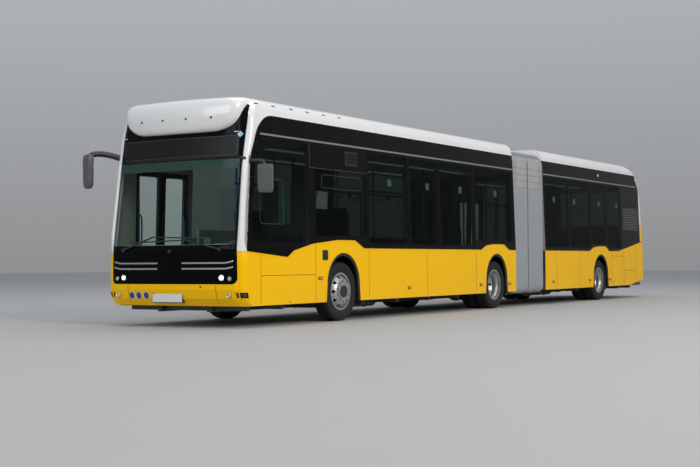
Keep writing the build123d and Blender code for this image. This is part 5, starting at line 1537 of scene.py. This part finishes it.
class BUS_OT_cabin(bpy.types.Operator):
    """Seat cushions, ceiling lights, the driver's place and the grab loops"""

    bl_idname = "bus.cabin"
    bl_label = "Cabin"

    # Seats of each car: side, s of the back, height of the seat's top, facing (1 is forward), width
    SEATS = {
        "front_car": [
            (1, 1.750, 0.870, 1, 0.46), (1, 3.150, 1.335, -1, 0.80), (1, 4.050, 0.870, 1, 0.80),
            (1, 4.850, 0.870, 1, 0.80), (1, 5.650, 0.870, 1, 0.80), (1, 6.450, 0.870, 1, 0.80),
            (1, 7.250, 0.870, 1, 0.80), (-1, 3.150, 1.335, -1, 0.80), (-1, 7.600, 0.870, 1, 0.80),
        ],
        "rear_car": [
            (1, 12.300, 0.870, 1, 0.80), (1, 13.100, 0.870, 1, 0.80), (1, 13.850, 0.870, 1, 0.80),
            (1, 16.100, 0.870, 1, 0.80), (-1, 16.100, 0.870, 1, 0.80),
        ],
    }
    SEAT_OUTER_Y = 1.130
    SINGLE_WIDTH = 0.6

    # Cars for lights and loops: s from, s to, gaps between the loops
    SALOONS = (("front_car", 1.0, 9.58, 8), ("rear_car", 11.34, 16.2, 5))
    LIGHT_LENGTH = 1.30
    LIGHT_PITCH = 1.45

    # A hanging grab loop: distance from the rail, height
    LOOP_Y = 0.305
    LOOP = (
        (0.004, 2.262), (0, 2.19), (-0.045, 2.135), (-0.045, 2.095), (0.045, 2.095), (0.045, 2.135),
        (0, 2.19),
    )

    # Boxes round the driver: s from, s to, y from, y to, z from, z to
    HOODS = (
        (0.50, 0.62, 0.40, 0.88, 1.146, 1.25), (0.50, 0.66, 0.20, 0.34, 1.146, 1.33),
        (0.50, 0.78, 1.02, 1.12, 1.146, 1.20),
    )
    SCREENS = ((0.618, 0.6225, 0.44, 0.84, 1.158, 1.238), (0.658, 0.6625, 0.215, 0.325, 1.19, 1.315))
    SUN_BLIND = (0.235, 0.27, -1.02, 1.02, 2.405, 2.462)
    PARTITION = (1.02, 2.10, 0.144, 0.152, 1.45, 2.12)
    SLATS = 5
    SLAT_PITCH = 0.066
    SLAT_WIDTH = 0.056

    def cushions(self):
        """A pad and a back for each seat, and a blue grip on the backs of the double seats."""
        for car, seats in self.SEATS.items():
            pads, backs, grips = bmesh.new(), bmesh.new(), bmesh.new()
            for side, s, top, facing, width in seats:
                count = 1 if width < self.SINGLE_WIDTH else 2
                each = width / count
                for k in range(count):
                    y = side * (self.SEAT_OUTER_Y - each * (k + 0.5))
                    pad = (X_ZERO - (s - facing * 0.285), y, top + 0.012)
                    puffed(pads, pad, (0.33, each - 0.035, 0.060), 3.6, None, 0, 8)
                    back = (X_ZERO - (s - facing * 0.083), y, top + 0.275)
                    lean = Matrix.Rotation(facing * 0.20, 3, "Y")
                    puffed(backs, back, (0.052, each - 0.035, 0.44), 3.6, lean, 0, 8)
                    if count == 2:
                        x = X_ZERO - (s - facing * 0.012)
                        ends = [Vector((x, y + d * each * 0.40, top + 0.43)) for d in (-1, 1)]
                        high = [end + Vector((0, 0, 0.075)) for end in ends]
                        add_tube(grips, [ends[0], *high, ends[1]], 0.011, 8, 2)
            name = car.split("_")[0]
            for part, bm in (("seat_pads", pads), ("seat_backs", backs)):
                piece = finish(f"{name}_{part}", mesh_from(bm), "seat_fabric", car)
            finish(f"{name}_seat_grips", mesh_from(grips), "handrail", car, slot="handrail")

    def ceiling(self):
        """Rows of light panels, air channels and hanging grab loops."""
        for car, s0, s1, gaps in self.SALOONS:
            name = car.split("_")[0]
            count = max(1, round((s1 - s0 - 1.6) / self.LIGHT_PITCH))
            starts = steps(s0 + 0.6, s1 - 1.0, count)[:-1]
            lights = [(s, s + self.LIGHT_LENGTH, side * 0.62 - 0.055, side * 0.62 + 0.055, 2.722, 2.738)
                      for side in (1, -1) for s in starts]
            vents = [(s0 + 0.4, s1 - 0.4, side * 0.86 - 0.05, side * 0.86 + 0.05, 2.716, 2.738)
                     for side in (1, -1)]
            box_piece(f"{name}_ceiling_lights", lights, "light_panel", car, bevel=0.004)
            box_piece(f"{name}_air_channels", vents, "ceiling_panel", car, bevel=0.008)
            straps = bmesh.new()
            for side in (1, -1):
                for s in steps(s0 + 1.7, s1 - 0.5, gaps):
                    loop = [(X_ZERO - s, side * self.LOOP_Y + across, z) for across, z in self.LOOP]
                    add_tube(straps, loop, 0.008, 8, 1)
            finish(f"{name}_grab_loops", mesh_from(straps), "cab_plastic", car)

    def drivers_place(self):
        """Spokes and boss of the steering wheel, instruments, blinds, the ledge and the partition."""
        wheel = bmesh.new()
        centre, tilt = Vector((X_ZERO - 0.90, 0.64, 1.138)), Vector((-0.42, 0, 0.91)).normalized()
        side = tilt.orthogonal().normalized()
        for angle in (0.5, 2.62, 4.71):
            spoke = side * cos(angle) + tilt.cross(side) * sin(angle)
            points = [centre - tilt * 0.02, centre - tilt * 0.015 + spoke * 0.11, centre + spoke * 0.222]
            add_tube(wheel, points, 0.012, 8, 1)
        boss = [(-0.05, 0.05), (-0.01, 0.075), (0.006, 0.070), (0.012, 0.05), (0.014, 0.001)]
        add_lathe(wheel, boss, centre, tilt, 28)
        finish("steering_spokes", mesh_from(wheel), "dark_plastic")
        box_piece("instrument_hoods", self.HOODS, "cab_plastic", bevel=0.018)
        box_piece("instrument_screens", self.SCREENS, "screen_dim", smooth=False)
        box_piece("sun_blind", [self.SUN_BLIND], "cab_plastic", bevel=0.012)
        ledge = end_relief([rectangle(-0.96, 0.96, 1.196, 1.222)], -0.150, -0.022)
        finish("dashboard_ledge", ledge, "blind_teal", bevel=0.003)
        starts = [1.18 + self.SLAT_PITCH * k for k in range(self.SLATS)]
        slats = [(s, s + self.SLAT_WIDTH, 1.120, 1.130, 1.54, 2.17) for s in starts]
        box_piece("driver_side_blind", slats, "blind_teal", bevel=0.003)
        box_piece("cab_partition_glass", [self.PARTITION], "door_glass", smooth=False)

    def execute(self, context):
        self.cushions()
        self.ceiling()
        self.drivers_place()
        return {"FINISHED"}


class BUS_OT_roof(bpy.types.Operator):
    """Lids, fans and cables of the roof equipment"""

    bl_idname = "bus.roof"
    bl_label = "Roof equipment"

    BOLT = ((0.0, 0.011), (0.003, 0.010), (0.004, 0.0005))
    FAN_DISC = ((0.001, 0.19), (0.0035, 0.19), (0.0045, 0.06), (0.0055, 0.0005))
    FANS = (("front", (6.62, 7.10, 7.58)), ("rear", (11.70,)))
    FAN_Y = 0.42
    GUARD_RADII = (0.06, 0.10, 0.14, 0.18, 0.21)
    CABLE_YS = (0.30, 0.36, -0.34)

    def execute(self, context):
        for car, rows in PACKS.items():
            self.lids(car, rows)
        for car, places in self.FANS:
            self.fans(car, places)
        for car, rows in PACKS.items():
            self.cables(car, rows)
        return {"FINISHED"}

    def lids(self, car, rows):
        """Two lids on each pack, bolted along their edges, and ribs on those without fans."""
        lids, bolts, ribs = bmesh.new(), bmesh.new(), bmesh.new()
        for start, end, half, top in rows:
            x0, x1 = X_ZERO - end + 0.05, X_ZERO - start - 0.05
            for side in (1, -1):
                y0, y1 = sorted((side * 0.03, side * (half - 0.08)))
                add_box(lids, (x0, y0, top - 0.004), (x1, y1, top + 0.003))
                for x in steps(x0 + 0.04, x1 - 0.04, 7):
                    for y in (y0 + 0.03, y1 - 0.03):
                        add_lathe(bolts, self.BOLT, (x, y, top + 0.0025), (0, 0, 1), 6)
                for x in steps(x0, x1, 7)[1:-1] if top < FAN_TOP else ():
                    add_box(ribs, (x - 0.02, y0 + 0.07, top + 0.001), (x + 0.02, y1 - 0.07, top + 0.006))
        body = f"{car}_car"
        finish(f"{car}_pack_lids", mesh_from(lids), "pack_grey", body, bevel=0.002)
        finish(f"{car}_pack_ribs", mesh_from(ribs), "pack_grey", body, bevel=0.002)
        finish(f"{car}_pack_bolts", mesh_from(bolts), "bare_metal", body, smooth=False)

    def fans(self, car, places):
        """A disc under a round wire guard over each fan."""
        guards, discs = bmesh.new(), bmesh.new()
        up = Vector((0, 0, 0.005))
        for s in places:
            for y in (self.FAN_Y, -self.FAN_Y):
                centre = Vector((X_ZERO - s, y, FAN_TOP))
                add_lathe(discs, self.FAN_DISC, centre, (0, 0, 1), 28)
                for radius in self.GUARD_RADII:
                    angles = [radians(15 * k) for k in range(25)]
                    ring = [centre + Vector((radius * cos(a), radius * sin(a), up.z)) for a in angles]
                    add_tube(guards, ring, 0.0022, 5)
                for k in range(8):
                    arm = Vector((cos(radians(45 * k)), sin(radians(45 * k)), 0))
                    add_tube(guards, [centre + arm * 0.05 + up, centre + arm * 0.21 + up], 0.0024, 5)
        finish(f"{car}_fan_discs", mesh_from(discs), "dark_plastic", f"{car}_car")
        finish(f"{car}_fan_guards", mesh_from(guards), "bare_metal", f"{car}_car")

    def cables(self, car, rows):
        """Orange cables that sag between neighbouring packs, with a plug at each end."""
        tubes, plugs = bmesh.new(), bmesh.new()
        for a, b in zip(rows, rows[1:]):
            x0, x1 = X_ZERO - a[1] + 0.01, X_ZERO - b[0] - 0.01
            z = min(a[3], b[3]) - 0.05
            for y in self.CABLE_YS:
                sag = Vector(((x0 + x1) / 2, y + 0.02, z - 0.035))
                add_tube(tubes, [Vector((x0, y, z)), sag, Vector((x1, y, z))], 0.014, 8, smooth=3)
                for x in (x0, x1):
                    add_box(plugs, (x - 0.018, y - 0.022, z - 0.022), (x + 0.018, y + 0.022, z + 0.022))
        finish(f"{car}_roof_cables", mesh_from(tubes), "cable_orange", f"{car}_car")
        finish(f"{car}_roof_plugs", mesh_from(plugs), "dark_plastic", f"{car}_car", bevel=0.002)


class BUS_OT_tail(bpy.types.Operator):
    """Lamps, plate, joints, grips and reflectors of the rear"""

    bl_idname = "bus.tail"
    bl_label = "Tail"

    LAMP_Y = 1.085
    LAMP_HEIGHTS = (1.56, 1.40, 1.24, 1.08)
    REVERSING = 1.24
    LENS = ((0.001, 0.057), (0.004, 0.056), (0.006, 0.045), (0.007, 0.0005))

    # Finishes of the CAD lamps: height from, height to, material
    COLOURS = (
        (1.50, 9.0, "lamp_red"), (1.34, 1.50, "lamp_amber"), (1.17, 1.34, "lens_clear"),
        (0.0, 1.17, "lamp_red"),
    )

    def execute(self, context):
        self.lamps()
        joints = [rectangle(-0.80, 0.80, 1.855, 1.865), rectangle(-0.85, 0.85, 0.600, 0.608)]
        joints += [rectangle(y - 0.0035, y + 0.0035, 0.608, 1.855) for y in (-0.80, 0.80)]
        plate = [rectangle(-0.26, 0.26, 0.709, 0.821, 0.01)]
        grips = [rectangle(y - 0.07, y + 0.07, 0.90, 0.935, 0.014) for y in (-0.55, 0.55)]
        marks = [rectangle(y - 0.05, y + 0.05, 0.50, 0.54, 0.01) for y in (-0.95, 0.95)]
        for name, shapes, low, high, material, more in (
            ("plate", plate, -0.006, 0.003, "plate_white", {"bevel": 0.001}),
            ("joints", joints, -0.006, 0.001, "joint_dark_and_groove_shade", {"smooth": False}),
            ("grips", grips, -0.004, 0.006, "dark_plastic", {"bevel": 0.002}),
            ("reflectors", marks, -0.004, 0.005, "lamp_red", {"bevel": 0.001}),
        ):
            finish(f"tail_{name}", end_relief(shapes, low, high, on_tail), material, "rear_car", **more)
        return {"FINISHED"}

    def lamps(self):
        """Colours of the CAD lamps by height, and a rim and a lens for each."""
        lamps = frame["nodes"]["tail_lamps"].data
        for low, high, name in self.COLOURS:
            lamps.materials.append(MATERIALS[name])
            for polygon in lamps.polygons:
                if low <= polygon.center.z < high:
                    polygon.material_index = len(lamps.materials) - 1
        places = [(y, z) for y in (self.LAMP_Y, -self.LAMP_Y) for z in self.LAMP_HEIGHTS]
        rims = [end_relief([circle(y, z, 0.070, 28)], -0.004, 0.002, on_tail) for y, z in places]
        finish("tail_lamp_rims", joined(rims), "dark_plastic", "rear_car", bevel=0.001)
        for name, material, clear in (("lamp", "lamp_red", False), ("reversing", "lens_clear", True)):
            lenses = [on_tail(y, z) for y, z in places if (z == self.REVERSING) == clear]
            lathe_piece(f"tail_{name}_lenses", self.LENS, lenses, (-1, 0, 0), 24, material, body="rear_car")


class BUS_OT_underbody(bpy.types.Operator):
    """Air tanks with their straps, and pipes under the floor"""

    bl_idname = "bus.underbody"
    bl_label = "Under the floor"

    # Tanks of each car: s from, s to
    TANKS = {"front": ((3.6, 5.2), (8.4, 9.3)), "rear": ((11.9, 13.5), (15.9, 17.0))}
    TANK_Y = 0.42
    FLOOR_UNDER = 0.345
    TANK_DROP = 0.095
    # A tank's rounded end (distance from the end, radius) and its strap
    TANK_END = ((0.0, 0.0005), (0.008, 0.05), (0.035, 0.085), (0.07, 0.09))
    STRAP_RADIUS = 0.094
    PIPE_YS = (0.10, 0.14, 0.18, -0.12, -0.17)

    def execute(self, context):
        for car, rows in self.TANKS.items():
            tanks, straps, pipes = bmesh.new(), bmesh.new(), bmesh.new()
            for a, b in rows:
                for y in (self.TANK_Y, -self.TANK_Y):
                    self.add_tank(tanks, straps, X_ZERO - b, b - a, y)
            first, last = X_ZERO - rows[0][0] + 0.4, X_ZERO - rows[1][1]
            for y in self.PIPE_YS:
                points = [Vector((x, y + 0.006 * sin(k * 1.7), self.FLOOR_UNDER - 0.012))
                          for k, x in enumerate(steps(first, last, 12))]
                add_tube(pipes, points, 0.008, 8)
            for name, bm, material in (
                ("air_tanks", tanks, "underbody_light"), ("tank_straps", straps, "bare_metal"),
                ("floor_pipes", pipes, "dark_plastic"),
            ):
                finish(f"{car}_{name}", mesh_from(bm), material, f"{car}_car")
        return {"FINISHED"}

    def add_tank(self, tanks, straps, x, length, y):
        """A tank that hangs below the floor in two straps."""
        middle = self.FLOOR_UNDER - self.TANK_DROP
        far_end = [(length - along, radius) for along, radius in reversed(self.TANK_END)]
        add_lathe(tanks, list(self.TANK_END) + far_end, Vector((x, y, middle)), (1, 0, 0), 28)
        reach, top = self.STRAP_RADIUS, self.FLOOR_UNDER + 0.01
        for share in (0.2, 0.8):
            at = x + length * share
            angles = [radians(10 * k) for k in range(-10, 11)]
            loop = [Vector((at, y + reach * sin(a), middle - reach * cos(a))) for a in angles]
            add_tube(straps, [Vector((at, y - reach, top)), *loop, Vector((at, y + reach, top))], 0.008, 6)


class BUS_OT_stage(bpy.types.Operator):
    """Lay the floor and set up the light and the camera"""

    bl_idname = "bus.stage"
    bl_label = "Set the stage"

    FLOOR_HALF = 90
    SENSOR = 36

    # The camera's direction in degrees
    YAW = 211.244
    PITCH = 1.3025
    ROLL = -0.3876

    # Soft lights: name, place, size, power, colour
    LIGHTS = (
        ("key", (14, 26, 15), 12, 4300, (1.0, 0.97, 0.92)),
        ("fill", (36, -6, 12), 14, 1900, (0.93, 0.96, 1.0)),
        ("top", (-2, 2, 26), 26, 3000, (0.97, 0.98, 1.0)),
    )

    def execute(self, context):
        self.lay_floor(context)
        self.hang_sky(context)
        for row in self.LIGHTS:
            self.add_light(context, *row)
        self.place_camera(context)
        return {"FINISHED"}

    def lay_floor(self, context):
        """A large grey floor under the wheels."""
        surface("stage_floor", (0.42, 0.42, 0.415), 0.75, grain=(30, 0.12, 0.01), vary=0.03)
        h = self.FLOOR_HALF
        mesh = bpy.data.meshes.new("floor")
        mesh.from_pydata([(-h, -h, 0), (h, -h, 0), (h, h, 0), (-h, h, 0)], [], [(0, 1, 2, 3)])
        mesh.materials.append(MATERIALS["stage_floor"])
        floor = bpy.data.objects.new("floor", mesh)
        context.scene.collection.objects.link(floor)

    def hang_sky(self, context):
        """A sky that is grey at the horizon and pale blue above."""
        world = bpy.data.worlds.new("soft_studio")
        world.use_nodes = True
        nodes, links = world.node_tree.nodes, world.node_tree.links
        sky = nodes["Background"]
        sky.inputs["Strength"].default_value = 0.55
        where = nodes.new("ShaderNodeTexCoord")
        split = nodes.new("ShaderNodeSeparateXYZ")
        fit = add_node(nodes, "ShaderNodeMapRange", {"From Min": -1.0})
        ramp = nodes.new("ShaderNodeValToRGB")
        for element, position, colour in zip(
            ramp.color_ramp.elements, (0.47, 0.62), ((0.42, 0.42, 0.42, 1), (0.82, 0.86, 0.92, 1))
        ):
            element.position = position
            element.color = colour
        links.new(where.outputs["Generated"], split.inputs[0])
        links.new(split.outputs["Z"], fit.inputs["Value"])
        links.new(fit.outputs[0], ramp.inputs[0])
        links.new(ramp.outputs[0], sky.inputs["Color"])
        context.scene.world = world
        context.scene.view_settings.view_transform = "Standard"

    def add_light(self, context, name, place, size, power, colour):
        """A square light that looks at the bus."""
        data = bpy.data.lights.new(name, "AREA")
        data.energy = power
        data.size = size
        data.color = colour
        lamp = bpy.data.objects.new(name, data)
        lamp.location = place
        lamp.rotation_euler = (Vector((0, 0, 1)) - Vector(place)).to_track_quat("-Z", "Y").to_euler()
        context.scene.collection.objects.link(lamp)

    def place_camera(self, context):
        """The photographer's place and direction."""
        stage = context.scene.bus_stage
        data = bpy.data.cameras.new("camera")
        data.sensor_width = self.SENSOR
        data.lens = stage.lens
        data.clip_end = 300
        camera = bpy.data.objects.new("camera", data)
        context.scene.collection.objects.link(camera)
        yaw, pitch, roll = radians(self.YAW), radians(self.PITCH), radians(self.ROLL)
        ahead = Vector((cos(yaw) * cos(pitch), sin(yaw) * cos(pitch), sin(pitch)))
        right = Vector((sin(yaw), -cos(yaw), 0))
        up = right.cross(ahead)
        right, up = cos(roll) * right + sin(roll) * up, cos(roll) * up - sin(roll) * right
        turn = Matrix((right, up, -ahead)).transposed()
        camera.matrix_world = Matrix.Translation(stage.camera) @ turn.to_4x4()
        context.scene.camera = camera


OPERATORS = (
    BUS_OT_paint, BUS_OT_side_trim, BUS_OT_front_trim, BUS_OT_wheels, BUS_OT_bellows, BUS_OT_doors,
    BUS_OT_hoop_and_lamps, BUS_OT_cabin, BUS_OT_roof, BUS_OT_tail, BUS_OT_underbody, BUS_OT_stage,
)
SETTINGS = (
    ("bus_paint", BusPaint),
    ("bus_wheels", BusWheels),
    ("bus_bellows", BusBellows),
    ("bus_trim", BusTrim),
    ("bus_stage", BusStage),
)


class BUS_PT_panel(bpy.types.Panel):
    """The bus's looks, one button for each group of pieces"""

    bl_label = "Articulated bus"
    bl_idname = "BUS_PT_panel"
    bl_space_type = "VIEW_3D"
    bl_region_type = "UI"
    bl_category = "Bus"

    def draw(self, context):
        for name, group in SETTINGS:
            box = self.layout.box()
            for key in group.__annotations__:
                box.prop(getattr(context.scene, name), key)
        for operator in OPERATORS:
            self.layout.operator(operator.bl_idname)


def register():
    for _, group in SETTINGS:
        bpy.utils.register_class(group)
    for name, group in SETTINGS:
        setattr(bpy.types.Scene, name, PointerProperty(type=group))
    for operator in OPERATORS:
        bpy.utils.register_class(operator)
    bpy.utils.register_class(BUS_PT_panel)


def unregister():
    bpy.utils.unregister_class(BUS_PT_panel)
    for operator in reversed(OPERATORS):
        bpy.utils.unregister_class(operator)
    for name, group in reversed(SETTINGS):
        delattr(bpy.types.Scene, name)
        bpy.utils.unregister_class(group)


def main():
    """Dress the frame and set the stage."""
    register()
    bpy.ops.bus.paint()
    bpy.ops.bus.side_trim()
    bpy.ops.bus.front_trim()
    bpy.ops.bus.wheels()
    bpy.ops.bus.bellows()
    bpy.ops.bus.doors()
    bpy.ops.bus.hoop_and_lamps()
    bpy.ops.bus.cabin()
    bpy.ops.bus.roof()
    bpy.ops.bus.tail()
    bpy.ops.bus.underbody()
    bpy.ops.bus.stage()


if __name__ == "__main__":
    main()
